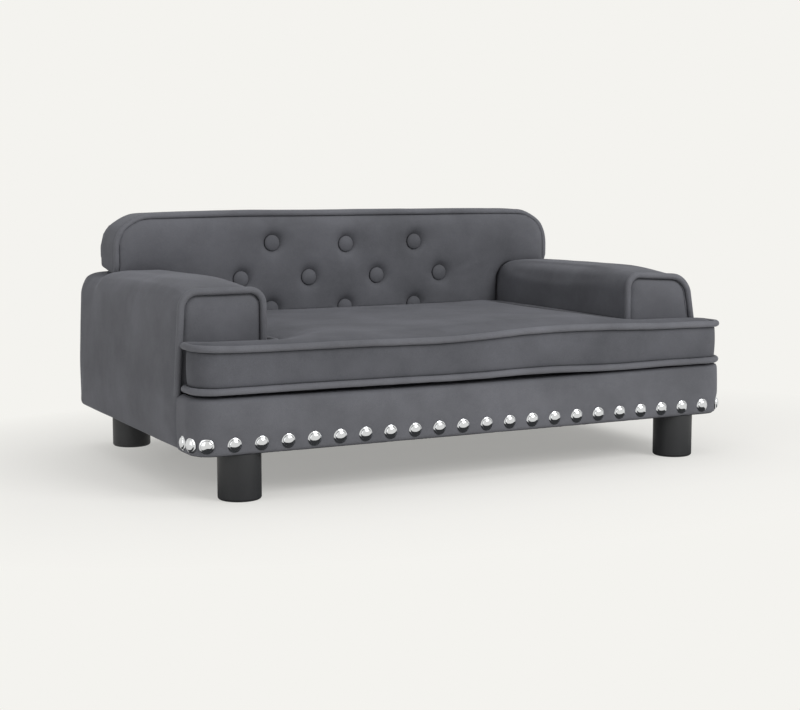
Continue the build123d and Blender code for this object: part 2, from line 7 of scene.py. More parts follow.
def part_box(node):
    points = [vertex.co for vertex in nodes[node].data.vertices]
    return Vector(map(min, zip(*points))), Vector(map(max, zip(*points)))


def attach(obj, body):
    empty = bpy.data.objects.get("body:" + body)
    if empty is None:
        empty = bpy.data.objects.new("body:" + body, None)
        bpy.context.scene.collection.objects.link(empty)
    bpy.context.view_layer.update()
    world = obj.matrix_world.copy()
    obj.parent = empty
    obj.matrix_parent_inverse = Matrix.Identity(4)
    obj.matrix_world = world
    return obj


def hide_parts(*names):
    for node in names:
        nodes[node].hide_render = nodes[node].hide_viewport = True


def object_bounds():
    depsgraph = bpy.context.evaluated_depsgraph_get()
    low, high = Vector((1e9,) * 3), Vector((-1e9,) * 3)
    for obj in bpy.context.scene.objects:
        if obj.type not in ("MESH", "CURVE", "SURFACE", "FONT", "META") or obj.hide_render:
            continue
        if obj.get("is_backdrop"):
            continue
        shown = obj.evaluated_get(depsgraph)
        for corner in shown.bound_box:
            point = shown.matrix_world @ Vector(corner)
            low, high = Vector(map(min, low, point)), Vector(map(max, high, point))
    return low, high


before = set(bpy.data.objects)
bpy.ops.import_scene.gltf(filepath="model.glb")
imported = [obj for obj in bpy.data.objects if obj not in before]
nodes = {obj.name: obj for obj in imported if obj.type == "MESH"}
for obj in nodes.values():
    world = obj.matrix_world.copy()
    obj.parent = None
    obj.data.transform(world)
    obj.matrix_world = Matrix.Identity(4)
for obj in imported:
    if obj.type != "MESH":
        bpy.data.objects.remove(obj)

mm = 0.001
tiny = 0.2 * mm
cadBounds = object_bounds()
print("frame loaded:", len(nodes), "nodes")


# Helpers for selecting, shaping and handing over pieces
def alone(piece):
    if bpy.context.object and bpy.context.object.mode != "OBJECT":
        bpy.ops.object.mode_set(mode="OBJECT")
    bpy.ops.object.select_all(action="DESELECT")
    piece.select_set(True)
    bpy.context.view_layer.objects.active = piece


def newest(name):
    piece = bpy.context.object
    piece.name = name
    piece.data.name = name
    return piece


def applyPlace(piece):
    alone(piece)
    bpy.ops.object.transform_apply(location=True, rotation=True, scale=True)


def plateOf(name, low, high, level=0):
    # A flat rectangle between two corners.
    middle = ((low[0] + high[0]) / 2, (low[1] + high[1]) / 2, level)
    bpy.ops.mesh.primitive_plane_add(size=1, location=middle)
    piece = newest(name)
    piece.scale = (high[0] - low[0], high[1] - low[1], 1)
    applyPlace(piece)
    return piece


def blockOf(name, low, high):
    low, high = Vector(low), Vector(high)
    bpy.ops.mesh.primitive_cube_add(size=1, location=(low + high) / 2)
    piece = newest(name)
    piece.scale = high - low
    applyPlace(piece)
    return piece


def copyOf(piece):
    twin = piece.copy()
    twin.data = piece.data.copy()
    bpy.context.collection.objects.link(twin)
    return twin


def pick(piece, kind, test):
    # Selects points and edges by place, and faces by centre and normal; stays in edit mode.
    bpy.ops.object.mode_set(mode="EDIT")
    bpy.ops.mesh.select_mode(type=kind)
    bpy.ops.mesh.select_all(action="DESELECT")
    bpy.ops.object.mode_set(mode="OBJECT")
    points = piece.data.vertices
    if kind == "VERT":
        for point in points:
            point.select = test(point.co)
    elif kind == "EDGE":
        for edge in piece.data.edges:
            edge.select = test((points[edge.vertices[0]].co + points[edge.vertices[1]].co) / 2)
    else:
        for face in piece.data.polygons:
            face.select = test(face.center, face.normal)
    bpy.ops.object.mode_set(mode="EDIT")


def pickAll(piece, kind):
    pick(piece, kind, lambda *place: True)


def leaveEdit():
    bpy.ops.object.mode_set(mode="OBJECT")


def extruded(x, y, z):
    bpy.ops.mesh.extrude_region_move(TRANSFORM_OT_translate={"value": (x, y, z)})


def everythingInEdit():
    bpy.ops.object.mode_set(mode="EDIT")
    bpy.ops.mesh.select_all(action="SELECT")


def outward(piece):
    # Merges doubles and turns every face outwards.
    alone(piece)
    everythingInEdit()
    bpy.ops.mesh.remove_doubles(threshold=0.01 * mm)
    bpy.ops.mesh.normals_make_consistent(inside=False)
    leaveEdit()


def turnedOut(piece, direction):
    # An open wall has no inside, so its normals are checked at its furthest point.
    outward(piece)
    far = max(piece.data.vertices, key=lambda point: point.co.dot(direction))
    if far.normal.dot(direction) < 0:
        everythingInEdit()
        bpy.ops.mesh.flip_normals()
        leaveEdit()


def thickened(piece, x, y, z, steps=1):
    # A flat outline becomes a slab.
    pickAll(piece, "FACE")
    for _ in range(steps):
        extruded(x / steps, y / steps, z / steps)
    leaveEdit()
    outward(piece)


def emptied(piece):
    # Leaves only the edges of an outline.
    pickAll(piece, "FACE")
    bpy.ops.mesh.delete(type="ONLY_FACE")
    leaveEdit()


def opened(piece, test):
    # Takes away the edges of an outline that pass the test.
    pick(piece, "EDGE", test)
    bpy.ops.mesh.delete(type="EDGE_FACE")
    leaveEdit()


def joined(pieces, name):
    bpy.ops.object.select_all(action="DESELECT")
    for piece in pieces:
        piece.select_set(True)
    bpy.context.view_layer.objects.active = pieces[0]
    bpy.ops.object.join()
    return newest(name)


def applied(piece, kind, settings):
    # Adds one modifier and applies it at once.
    alone(piece)
    modifier = piece.modifiers.new(kind.lower(), kind)
    for name, value in settings.items():
        setattr(modifier, name, value)
    bpy.ops.object.modifier_apply(modifier=modifier.name)


def subdivided(piece, levels=1, kind="CATMULL_CLARK"):
    settings = {"levels": levels, "render_levels": levels, "subdivision_type": kind}
    applied(piece, "SUBSURF", settings)


def remeshed(piece, size):
    applied(piece, "REMESH", {"mode": "VOXEL", "voxel_size": size})


def relaxed(piece):
    applied(piece, "SMOOTH", {"factor": 0.5, "iterations": 3})


def walled(piece, thickness):
    applied(piece, "SOLIDIFY", {"thickness": thickness, "offset": -1, "use_even_offset": True})


def smoothed(piece, angle=None):
    alone(piece)
    if angle is None:
        bpy.ops.object.shade_smooth()
    else:
        bpy.ops.object.shade_smooth_by_angle(angle=math.radians(angle))


def shortened(piece, limit):
    # Halves the long edges until none is longer than the limit.
    alone(piece)
    for _ in range(12):
        bpy.ops.object.mode_set(mode="EDIT")
        bpy.ops.mesh.select_mode(type="EDGE")
        bpy.ops.mesh.select_all(action="DESELECT")
        leaveEdit()
        points = piece.data.vertices
        found = False
        for edge in piece.data.edges:
            a, b = (points[index].co for index in edge.vertices)
            edge.select = (a - b).length > limit
            found = found or edge.select
        if not found:
            return
        bpy.ops.object.mode_set(mode="EDIT")
        bpy.ops.mesh.subdivide(number_cuts=1)
        leaveEdit()


def shaped(piece, move):
    # Moves every point by what the function gives for its place.
    for point in piece.data.vertices:
        point.co += Vector(move(point.co))
    piece.data.update()


def undulated(piece, height, size, seed):
    # Soft unevenness of padding, along the surface's own normals.
    shift = Vector((seed * 3.7, seed * 1.9, seed * 5.3))
    normals = [point.normal.copy() for point in piece.data.vertices]
    for point, normal in zip(piece.data.vertices, normals):
        broad = noise.noise(point.co / size + shift)
        close = noise.noise(point.co / (size * 0.35) + shift)
        point.co += normal * height * (broad + 0.35 * close)
    piece.data.update()


def handOver(piece, body, slot, material, *replaced):
    if material:
        piece.data.materials.clear()
        piece.data.materials.append(material)
    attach(piece, body)
    if replaced:
        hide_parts(*replaced)
    return piece


def tubeAlong(piece, radius, closed):
    # Turns an outline of edges into a round welt of that radius.
    alone(piece)
    bpy.ops.object.convert(target="CURVE")
    line = bpy.context.object
    line.data.dimensions = "3D"
    line.data.bevel_depth = radius
    line.data.bevel_resolution = 3
    line.data.use_fill_caps = not closed
    bpy.ops.object.convert(target="MESH")
    tube = bpy.context.object
    outward(tube)
    smoothed(tube, 60)
    return tube


# Cloth: padded velvet swells between the places that hold it
def puffed(piece, cloth, held):
    rest = [point.co.copy() for point in piece.data.vertices]
    group = piece.vertex_groups.new(name="held")
    group.add([point.index for point in piece.data.vertices if held(point.co)], 1.0, "REPLACE")
    alone(piece)
    modifier = piece.modifiers.new("cloth", "CLOTH")
    settings = modifier.settings
    settings.quality = 4
    settings.mass = 0.3
    settings.tension_stiffness = cloth["stiffness"]
    settings.compression_stiffness = cloth["stiffness"]
    settings.shear_stiffness = cloth["stiffness"] / 2
    settings.bending_stiffness = cloth["bending"]
    settings.use_pressure = True
    settings.uniform_pressure_force = cloth["pressure"]
    settings.effector_weights.gravity = 0
    settings.vertex_group_mass = "held"
    modifier.collision_settings.use_collision = False
    scene = bpy.context.scene
    for step in range(1, cloth["frames"] + 1):
        scene.frame_set(step)
    swollen = piece.evaluated_get(bpy.context.evaluated_depsgraph_get()).to_mesh()
    moved = [point.co.copy() for point in swollen.vertices]
    piece.modifiers.remove(modifier)
    scene.frame_set(1)
    for point, start, end in zip(piece.data.vertices, rest, moved):
        step = end - start
        if step.length > cloth["cap"]:
            step *= cloth["cap"] / step.length
        point.co = start + step
    piece.vertex_groups.clear()
    piece.data.update()


# Colours and materials
def linear(hexColour):
    # sRGB hex to linear RGBA.
    parts = [int(hexColour[index:index + 2], 16) / 255 for index in (1, 3, 5)]
    straight = [c / 12.92 if c <= 0.04045 else ((c + 0.055) / 1.055) ** 2.4 for c in parts]
    return (*straight, 1.0)


def addNode(material, kind, settings=None, links=None, give=0):
    # Adds a node with its settings and links, and gives back one of its outputs.
    node = material.node_tree.nodes.new("ShaderNode" + kind)
    for name, value in (settings or {}).items():
        if isinstance(name, int) or name in node.inputs:
            node.inputs[name].default_value = value
        else:
            setattr(node, name, value)
    for name, source in (links or {}).items():
        material.node_tree.links.new(source, node.inputs[name])
    return node.outputs[give] if node.outputs else None


def newMaterial(name):
    material = bpy.data.materials.new(name)
    material.use_nodes = True
    material.node_tree.nodes.clear()
    return material


blend = {"data_type": "RGBA"}
multiply = {**blend, "blend_type": "MULTIPLY"}
velvetLook = {
    "dark": "#626368", "light": "#727379",
    "sheen": 0.2, "sheenRoughness": 0.32, "sheenTint": "#C9CCD6",
    "brushMark": 90 * mm, "pucker": 14 * mm, "nap": 0.9 * mm, "crease": 4 * mm,
}


def velvetMaterial(name, look):
    # Short-pile polyester velvet: matt, a pale rim where the pile stands edge-on, and patches
    # where a hand has brushed the pile. The pile is drawn at 0.9 mm, coarser than it is.
    material = newMaterial(name)
    place = addNode(material, "TexCoord", give="Object")
    strokes = {"Scale": 1 / look["brushMark"], "Detail": 5, "Roughness": 0.62}
    marks = addNode(material, "TexNoise", strokes, {"Vector": place})
    brushed = addNode(material, "MapRange", {"From Min": 0.34, "From Max": 0.66}, {"Value": marks})
    tones = {**blend, 6: linear(look["dark"]), 7: linear(look["light"])}
    tone = addNode(material, "Mix", tones, {0: brushed}, 2)
    fibres = {"Scale": 1 / look["nap"], "Roughness": 0.7}
    nap = addNode(material, "TexNoise", fibres, {"Vector": place})
    grain = addNode(material, "MapRange", {"From Min": 0.25, "From Max": 0.75}, {"Value": nap})
    colour = addNode(material, "Mix", {**multiply, 0: 0.22}, {6: tone, 7: grain}, 2)
    # painted shade: an occlusion mask darkens the colour in seams, folds and creases
    reach = {"samples": 4, "Distance": look["crease"]}
    depth = addNode(material, "AmbientOcclusion", reach, give="AO")
    limits = {"From Min": 0.3, "From Max": 0.8, "To Min": 0.3}
    paintedCreaseShade = addNode(material, "MapRange", limits, {"Value": depth})
    colour = addNode(material, "Mix", {**multiply, 0: 1}, {6: colour, 7: paintedCreaseShade}, 2)
    puckers = addNode(material, "TexNoise", {"Scale": 1 / look["pucker"]}, {"Vector": place})
    soft, fine = ({"Distance": rise * mm, "Strength": 0.5} for rise in (0.5, 0.15))
    puckered = addNode(material, "Bump", soft, {"Height": puckers})
    pile = addNode(material, "Bump", fine, {"Height": nap, "Normal": puckered})
    settings = {
        "Roughness": 0.86, "Specular IOR Level": 0.2, "Sheen Weight": look["sheen"],
        "Sheen Roughness": look["sheenRoughness"], "Sheen Tint": linear(look["sheenTint"]),
    }
    shader = addNode(material, "BsdfPrincipled", settings, {"Base Color": colour, "Normal": pile})
    addNode(material, "OutputMaterial", links={"Surface": shader})
    return material


def chromeMaterial():
    # Chrome-plated steel, pressed and polished: a clear mirror with faint polishing haze.
    material = newMaterial("polishedChrome")
    place = addNode(material, "TexCoord", give="Object")
    haze = addNode(material, "TexNoise", {"Scale": 1 / (3 * mm), "Detail": 3}, {"Vector": place})
    limits = {"From Min": 0.3, "From Max": 0.8, "To Min": 0.04, "To Max": 0.11}
    rough = addNode(material, "MapRange", limits, {"Value": haze})
    settings = {"Base Color": linear("#DADCDF"), "Metallic": 1.0}
    shader = addNode(material, "BsdfPrincipled", settings, {"Roughness": rough})
    addNode(material, "OutputMaterial", links={"Surface": shader})
    return material


def plasticMaterial(name, hexColour, roughness, grain, depth):
    # Moulded plastic with an etched grain that dulls its shine.
    material = newMaterial(name)
    place = addNode(material, "TexCoord", give="Object")
    etching = addNode(material, "TexNoise", {"Scale": 1 / grain}, {"Vector": place})
    etched = addNode(material, "Bump", {"Distance": depth, "Strength": 0.6}, {"Height": etching})
    wear = addNode(material, "TexNoise", {"Scale": 1 / (40 * mm)}, {"Vector": place})
    limits = {"From Min": 0.3, "From Max": 0.7}
    limits.update({"To Min": roughness - 0.06, "To Max": roughness + 0.06})
    rough = addNode(material, "MapRange", limits, {"Value": wear})
    settings = {"Base Color": linear(hexColour), "IOR": 1.5}
    shader = addNode(material, "BsdfPrincipled", settings, {"Roughness": rough, "Normal": etched})
    addNode(material, "OutputMaterial", links={"Surface": shader})
    return material


def zincMaterial(name, hexColour, roughness):
    # Zinc-plated steel: a grey metal with a mottled, slightly uneven shine.
    material = newMaterial(name)
    place = addNode(material, "TexCoord", give="Object")
    spangle = addNode(material, "TexNoise", {"Scale": 1 / (2.5 * mm)}, {"Vector": place})
    limits = {"To Min": roughness, "To Max": roughness + 0.15}
    rough = addNode(material, "MapRange", limits, {"Value": spangle})
    settings = {"Base Color": linear(hexColour), "Metallic": 1.0}
    shader = addNode(material, "BsdfPrincipled", settings, {"Roughness": rough})
    addNode(material, "OutputMaterial", links={"Surface": shader})
    return material


def woodMaterial(name, darkHex, lightHex, stretch, plies):
    # Raw board: long grain along its length and, on the edges, bands of the plies.
    material = newMaterial(name)
    place = addNode(material, "TexCoord", give="Object")
    along = addNode(material, "Mapping", {"Scale": stretch}, {"Vector": place})
    fibres = {"Scale": 1 / (6 * mm), "Detail": 4, "Roughness": 0.6}
    grain = addNode(material, "TexNoise", fibres, {"Vector": along})
    clear = addNode(material, "MapRange", {"From Min": 0.3, "From Max": 0.7}, {"Value": grain})
    tones = {**blend, 6: linear(darkHex), 7: linear(lightHex)}
    tone = addNode(material, "Mix", tones, {0: clear}, 2)
    if plies:
        layers = {"Scale": 1 / (5 * 3 * mm), "Distortion": 0.4, "bands_direction": plies}
        bands = addNode(material, "TexWave", layers, {"Vector": place}, "Fac")
        tone = addNode(material, "Mix", {**multiply, 0: 0.3}, {6: tone, 7: bands}, 2)
    ridges = addNode(material, "Bump", {"Distance": 0.2 * mm, "Strength": 0.4}, {"Height": grain})
    settings, links = {"Roughness": 0.72}, {"Base Color": tone, "Normal": ridges}
    shader = addNode(material, "BsdfPrincipled", settings, links)
    addNode(material, "OutputMaterial", links={"Surface": shader})
    return material


def foamMaterial():
    # Cut polyurethane foam: pale yellow, open cells about 1 mm across.
    material = newMaterial("cutFoam")
    place = addNode(material, "TexCoord", give="Object")
    cells = addNode(material, "TexVoronoi", {"Scale": 1 / (1.1 * mm)}, {"Vector": place})
    patches = addNode(material, "TexNoise", {"Scale": 1 / (60 * mm)}, {"Vector": place})
    tones = {**blend, 6: linear("#DCD2B0"), 7: linear("#ECE5CD")}
    tone = addNode(material, "Mix", tones, {0: patches}, 2)
    pores = addNode(material, "Bump", {"Distance": 0.4 * mm, "Strength": 0.6}, {"Height": cells})
    settings = {"Roughness": 0.95, "Specular IOR Level": 0.1}
    shader = addNode(material, "BsdfPrincipled", settings, {"Base Color": tone, "Normal": pores})
    addNode(material, "OutputMaterial", links={"Surface": shader})
    return material


def clothMaterial(name, darkHex, lightHex, thread):
    # Woven or bonded cloth: threads cross at the given spacing.
    material = newMaterial(name)
    place = addNode(material, "TexCoord", give="Object")
    waves = []
    for way in ("X", "Y"):
        rows = {"Scale": 1 / (thread * 5), "bands_direction": way, "Distortion": 0.6}
        waves.append(addNode(material, "TexWave", rows, {"Vector": place}, "Fac"))
    weave = addNode(material, "Math", {"operation": "MULTIPLY"}, dict(enumerate(waves)))
    tones = {**blend, 6: linear(darkHex), 7: linear(lightHex)}
    tone = addNode(material, "Mix", tones, {0: weave}, 2)
    threads = addNode(material, "Bump", {"Distance": 0.2 * mm, "Strength": 0.5}, {"Height": weave})
    settings = {"Roughness": 0.9, "Specular IOR Level": 0.15, "Sheen Weight": 0.15}
    shader = addNode(material, "BsdfPrincipled", settings, {"Base Color": tone, "Normal": threads})
    addNode(material, "OutputMaterial", links={"Surface": shader})
    return material


velvet = velvetMaterial("greyVelvet", velvetLook)
# The welts' velvet is painted lighter than the rest: a painted highlight along their rolls.
weltHighlightLook = {**velvetLook, "dark": "#6A6B70", "light": "#7A7B81", "pucker": 5 * mm}
weltHighlightVelvet = velvetMaterial("greyVelvetOverCordPaintedHighlight", weltHighlightLook)
# The seat cushion's velvet is painted darker than the rest: painted shade on the cushion.
cushionShadedLook = {**velvetLook, "dark": "#595A5F", "light": "#696A70"}
cushionShadedVelvet = velvetMaterial("greyVelvetPaintedShade", cushionShadedLook)
# The front border's velvet is painted lighter than the rest: painted light on the border.
borderLitLook = {**velvetLook, "dark": "#66676C", "light": "#75767C"}
borderLitVelvet = velvetMaterial("greyVelvetPaintedLight", borderLitLook)
chrome = chromeMaterial()
legPlastic = plasticMaterial("mattBlackPlastic", "#2D2E30", 0.5, 0.8 * mm, 0.05 * mm)
nylon = plasticMaterial("blackNylonCoil", "#232326", 0.4, 0.5 * mm, 0.03 * mm)
lacquer = plasticMaterial("blackLacqueredZinc", "#1D1D20", 0.28, 1.5 * mm, 0.02 * mm)
zinc = zincMaterial("zincPlatedSteel", "#BFC3C8", 0.28)
foam = foamMaterial()
twine = clothMaterial("twistedTwine", "#C9BFA6", "#E2DAC6", 1.0 * mm)
dustCloth = clothMaterial("blackBondedCloth", "#17171A", "#26262A", 1.2 * mm)
tapeCloth = clothMaterial("wovenZipTape", "#1B1B1F", "#2B2B30", 0.8 * mm)
plyFlat = woodMaterial("plywoodLying", "#B08A5E", "#D3B184", (1, 12, 1), "Z")
plyAcross = woodMaterial("plywoodAcross", "#B08A5E", "#D3B184", (1, 1, 12), "Y")
plySide = woodMaterial("plywoodSide", "#B08A5E", "#D3B184", (1, 1, 12), "X")
pine = woodMaterial("planedPine", "#CFA873", "#E6C897", (1, 10, 10), None)
print("materials made")


# T-shaped outlines, drawn flat: y grows towards the head of the T
def teeOf(wide, narrow, tail, step, head, radii):
    keys = ("tailRadius", "notchRadius", "shoulderRadius", "headRadius")
    tee = {"wide": wide, "narrow": narrow, "tail": tail, "step": step, "head": head}
    return {**tee, **dict(zip(keys, radii))}


def roundedCorner(piece, radius, test):
    if radius < 0.5 * mm:
        return
    pick(piece, "VERT", test)
    segments = max(3, round(radius * math.pi / 2 / (2.5 * mm)))
    bpy.ops.mesh.bevel(affect="VERTICES", offset=radius, segments=segments, profile=0.5)
    leaveEdit()


# Longest edges of the outlines before they are shaped
longest = {
    "seam": 3 * mm, "band": 6 * mm, "boxing": 8 * mm, "welt": 9 * mm, "arm": 14 * mm,
    "slab": 20 * mm, "sheet": 30 * mm,
}


def teeFace(name, tee, inset):
    wide, narrow, head = (tee[key] - inset for key in ("wide", "narrow", "head"))
    tail, step = (tee[key] + inset for key in ("tail", "step"))
    bpy.ops.mesh.primitive_plane_add(size=2)
    piece = newest(name)
    piece.scale = (narrow, (step - tail) / 2, 1)
    piece.location = (0, (step + tail) / 2, 0)
    applyPlace(piece)
    pick(piece, "VERT", lambda place: place.y > step - tiny)
    extruded(0, head - step, 0)
    leaveEdit()
    for side in (-1, 1):
        pick(piece, "VERT", lambda place: side * place.x > tiny and place.y > step - tiny)
        extruded(side * (wide - narrow), 0, 0)
        leaveEdit()
    everythingInEdit()
    bpy.ops.mesh.dissolve_limited(angle_limit=0.01)
    leaveEdit()
    atStep = lambda place: abs(place.y - step) < tiny
    shoulder = lambda place: atStep(place) and abs(place.x) > wide - tiny
    notch = lambda place: atStep(place) and abs(abs(place.x) - narrow) < tiny
    roundedCorner(piece, tee["headRadius"] - inset, lambda place: place.y > head - tiny)
    roundedCorner(piece, tee["shoulderRadius"] - inset, shoulder)
    roundedCorner(piece, tee["notchRadius"] + inset, notch)
    roundedCorner(piece, tee["tailRadius"] - inset, lambda place: place.y < tail + tiny)
    return piece


def standing(piece, y):
    # Turns a flat outline upright, so that its y runs up and it faces the front.
    piece.rotation_euler = (math.pi / 2, 0, 0)
    piece.location = (0, y, 0)
    applyPlace(piece)


def inPlan(piece, z):
    # Turns a flat outline so that its head is at the front of the sofa.
    piece.rotation_euler = (0, 0, math.pi)
    piece.location = (0, 0, z)
    applyPlace(piece)


def weltFrom(name, tee, inset, radius, turn, level):
    face = teeFace(name, tee, inset)
    shortened(face, longest["welt"])
    emptied(face)
    turn(face, level)
    return tubeAlong(face, radius, True)


# Places that the frame gives
armLow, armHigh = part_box("arm_cover_right")
upperLow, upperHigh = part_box("cushion_welt_upper")
lowerLow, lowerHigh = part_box("cushion_welt_lower")
backWeltLow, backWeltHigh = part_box("back_welt")
boxingLow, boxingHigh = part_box("back_boxing")
outsideLow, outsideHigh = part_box("outside_back")
buttonLow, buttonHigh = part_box("back_buttons")
borderLow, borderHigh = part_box("front_border")
nailLow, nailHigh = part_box("border_nails")
deckLow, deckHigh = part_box("deck_cover")
dustLow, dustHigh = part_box("dust_cover")
tapeLow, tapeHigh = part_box("zip_tape")
coilLow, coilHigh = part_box("zip_coil")
sliderLow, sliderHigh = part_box("zip_slider")

weltRadius = (upperHigh.z - upperLow.z) / 2
softGap = 0.3 * mm
proud = 3 * mm  # how far welts stand out of the pieces beside them
weltLumps = (0.25 * mm, 25 * mm)
padding = armHigh.x - deckHigh.x


def clamped(value):
    return min(max(value, 0), 1)


def smoothStep(value):
    value = clamped(value)
    return value * value * (3 - 2 * value)


def ramp(value, start, width):
    # 0 up to the start and 1 from a width beyond it, with a smooth change between them.
    return smoothStep((value - start) / width)


def outlineOf(face, turn):
    # Points close together along an outline, to measure how far a place is from it.
    shortened(face, longest["seam"])
    turn(face, 0)
    tree = kdtree.KDTree(len(face.data.vertices))
    for point in face.data.vertices:
        tree.insert(point.co, point.index)
    tree.balance()
    bpy.data.objects.remove(face)
    return tree


def crownBy(piece, seam, facing, rise, reach):
    # Points that face one way rise, the further they are from the outline the more.
    points = piece.data.vertices
    normals = [point.normal.copy() for point in points]
    for point, normal in zip(points, normals):
        if normal.dot(facing) > 0.5:
            distance = seam.find(point.co - facing * point.co.dot(facing))[2]
            point.co += facing * rise * (1 - math.exp(-distance / reach))
    piece.data.update()


def padFrom(name, tee, inset, turn, level, push):
    # A T-shaped slab: the start of a padded piece.
    piece = teeFace(name, tee, inset)
    shortened(piece, longest["slab"])
    turn(piece, level)
    thickened(piece, *push)
    return piece


# Seat cushion
cushion = {
    "radii": (14 * mm, 3 * mm, 12 * mm, 30 * mm), "seamInset": 6 * mm, "voxel": 4.2 * mm,
    "crown": 6.5 * mm, "crownReach": 9 * mm, "foot": 6 * mm, "footReach": 4 * mm, "bulge": 1.2 * mm,
    "uneven": 0.5 * mm, "unevenSize": 110 * mm, "half": 350 * mm,
    "waveRear": 20 * mm, "waveReach": 200 * mm, "seamHold": 4 * mm, "seamHeight": 3.5 * mm,
    "footHold": 2 * mm,
    # how far the two seams of the front edge have moved up with use, every 50 mm of it, in mm
    "upperEdge": (0.5, -1.4, -2.1, -2.3, -2.6, -3.5, -3.9, -2.1, 0.8, 2, 1.6, 0, -1.7, -2.1, -3.3),
    "lowerEdge": (2.4, 2.4, 2.4, 2.3, 2, 1.7, 1.1, 1.2, 2.2, 2, 0.5, 0, 0.7, 0.6, 0.6),
    "cloth": {"stiffness": 12, "bending": 0.6, "pressure": 3.0, "frames": 20, "cap": 2.5 * mm},
}
cushionTee = teeOf(
    upperHigh.x, armLow.x - proud - softGap, -upperHigh.y, -armLow.y + proud + softGap,
    -upperLow.y, cushion["radii"],
)
upperSeam = (upperHigh.z + upperLow.z) / 2
lowerSeam = (lowerHigh.z + lowerLow.z) / 2


def curveAt(heights, share):
    # Height of a smooth curve through evenly spaced points. The share runs from 0 to 1.
    last = len(heights) - 1
    along = clamped(share) * last
    index = min(int(along), last - 1)
    part = along - index
    before, start, end, after = (heights[min(max(index + k, 0), last)] for k in (-1, 0, 1, 2))
    leaving, arriving, climb = (end - before) / 2, (after - start) / 2, end - start
    bend = 3 * climb - 2 * leaving - arriving + part * (leaving + arriving - 2 * climb)
    return start + part * (leaving + part * bend)


def cushionSettle(place):
    # The front edge of the cushion waves with use, its upper seam more than its lower one.
    across = (place.x + cushion["half"]) / (2 * cushion["half"])
    share = clamped((place.z - lowerSeam) / (upperSeam - lowerSeam))
    frontness = clamped((cushion["waveRear"] - place.y) / cushion["waveReach"])
    rise = share * curveAt(cushion["upperEdge"], across)
    rise = (rise + (1 - share) * curveAt(cushion["lowerEdge"], across)) * mm
    if place.z < lowerSeam - cushion["seamHold"]:
        rise = max(rise, 0)
    return 0, 0, rise * frontness


def makeCushion():
    height, inset = upperSeam - lowerSeam, cushion["seamInset"]
    piece = padFrom("seatCushion", cushionTee, inset, inPlan, lowerSeam, (0, 0, height))
    remeshed(piece, cushion["voxel"])
    seam = outlineOf(teeFace("outline", cushionTee, inset), inPlan)
    crownBy(piece, seam, Vector((0, 0, 1)), cushion["crown"], cushion["crownReach"])
    crownBy(piece, seam, Vector((0, 0, -1)), cushion["foot"], cushion["footReach"])
    points = piece.data.vertices
    normals = [point.normal.copy() for point in points]
    for point, normal in zip(points, normals):
        if abs(normal.z) < 0.5:
            swell = math.sin(math.pi * clamped((point.co.z - lowerSeam) / height))
            point.co += normal * cushion["bulge"] * swell
    piece.data.update()

    def held(place):
        if place.z < lowerSeam - cushion["footHold"]:
            return True
        near = min(abs(place.z - upperSeam), abs(place.z - lowerSeam)) < cushion["seamHeight"]
        return near and seam.find((place.x, place.y, 0))[2] < cushion["seamHold"]

    puffed(piece, cushion["cloth"], held)
    subdivided(piece)
    undulated(piece, cushion["uneven"], cushion["unevenSize"], 1)
    shaped(piece, cushionSettle)
    smoothed(piece)
    return handOver(piece, "cushion", "velvet", cushionShadedVelvet, "cushion_cover")


def makeCushionWelts():
    for name, node, seam in (
        ("cushionWeltUpper", "cushion_welt_upper", upperSeam),
        ("cushionWeltLower", "cushion_welt_lower", lowerSeam),
    ):
        welt = weltFrom(name, cushionTee, weltRadius, weltRadius, inPlan, seam)
        shaped(welt, cushionSettle)
        undulated(welt, *weltLumps, 2)
        handOver(welt, "cushion", "welt_velvet", weltHighlightVelvet, node)


makeCushion()
makeCushionWelts()
print("cushion made")


# Backrest: buttoned face, welt, the band behind it, and the outside back
back = {
    "radii": (12 * mm, 18.3 * mm, 4.5 * mm, 46 * mm), "wingUnderside": 227.3 * mm,
    "seamInset": 4.4 * mm, "voxel": 4 * mm, "slab": 1.5 * mm,
    "crown": 10.5 * mm, "crownReach": 10 * mm,
    "dimple": 6.5 * mm, "dimpleFloor": 10.8 * mm, "dimpleFall": 5.5 * mm,
    "uneven": 0.5 * mm, "unevenSize": 90 * mm, "reachArm": 4.5 * mm, "tuck": 5 * mm,
    "tuckFade": 10 * mm,
    # the top edge
    "topEdge": 276 * mm, "lift": 0.5 * mm, "endDroop": 2.2 * mm, "leftDroop": 3.6 * mm,
    "rightDroop": 2.6 * mm, "droopFrom": 265 * mm, "droopWidth": 50 * mm,
    "hump": 1.1 * mm, "humpAt": -150 * mm, "humpWidth": 70 * mm,
    # the wings
    "wingDrop": 7 * mm, "wingLow": 200 * mm, "wingHigh": 250 * mm, "wingFade": 20 * mm,
    "tipLift": 3.2 * mm, "tipFrom": 300 * mm, "tipWidth": 32 * mm, "tipHigh": 245 * mm,
    "leftReach": -1.7 * mm, "rightReach": 3.6 * mm, "reachFrom": 250 * mm, "reachWidth": 90 * mm,
    "rightFlare": 1.4 * mm, "flareHigh": 275 * mm, "flareFade": 30 * mm, "fold": 12 * mm,
    # the band behind the welt and the outside back
    "boxing": 7.6 * mm, "lap": 0.4 * mm, "boxingInset": 0.5 * mm, "boxingBulge": 0.6 * mm,
    "outsideInset": -0.4 * mm, "outsideLap": 2 * mm, "outsideFree": 222 * mm,
    "outsideFade": 10 * mm, "pinch": 24 * mm, "pinchHeight": 229 * mm, "pinchReach": 6 * mm,
    "pinchWidth": 60 * mm, "boxingSteps": 6,
    "boxingUneven": (0.4 * mm, 60 * mm), "outsideUneven": (0.5 * mm, 120 * mm),
    "cloth": {"stiffness": 12, "bending": 0.6, "pressure": 2.5, "frames": 16, "cap": 2 * mm},
}
backTee = teeOf(
    backWeltHigh.x, armLow.x - softGap, backWeltLow.z, back["wingUnderside"], backWeltHigh.z,
    back["radii"],
)
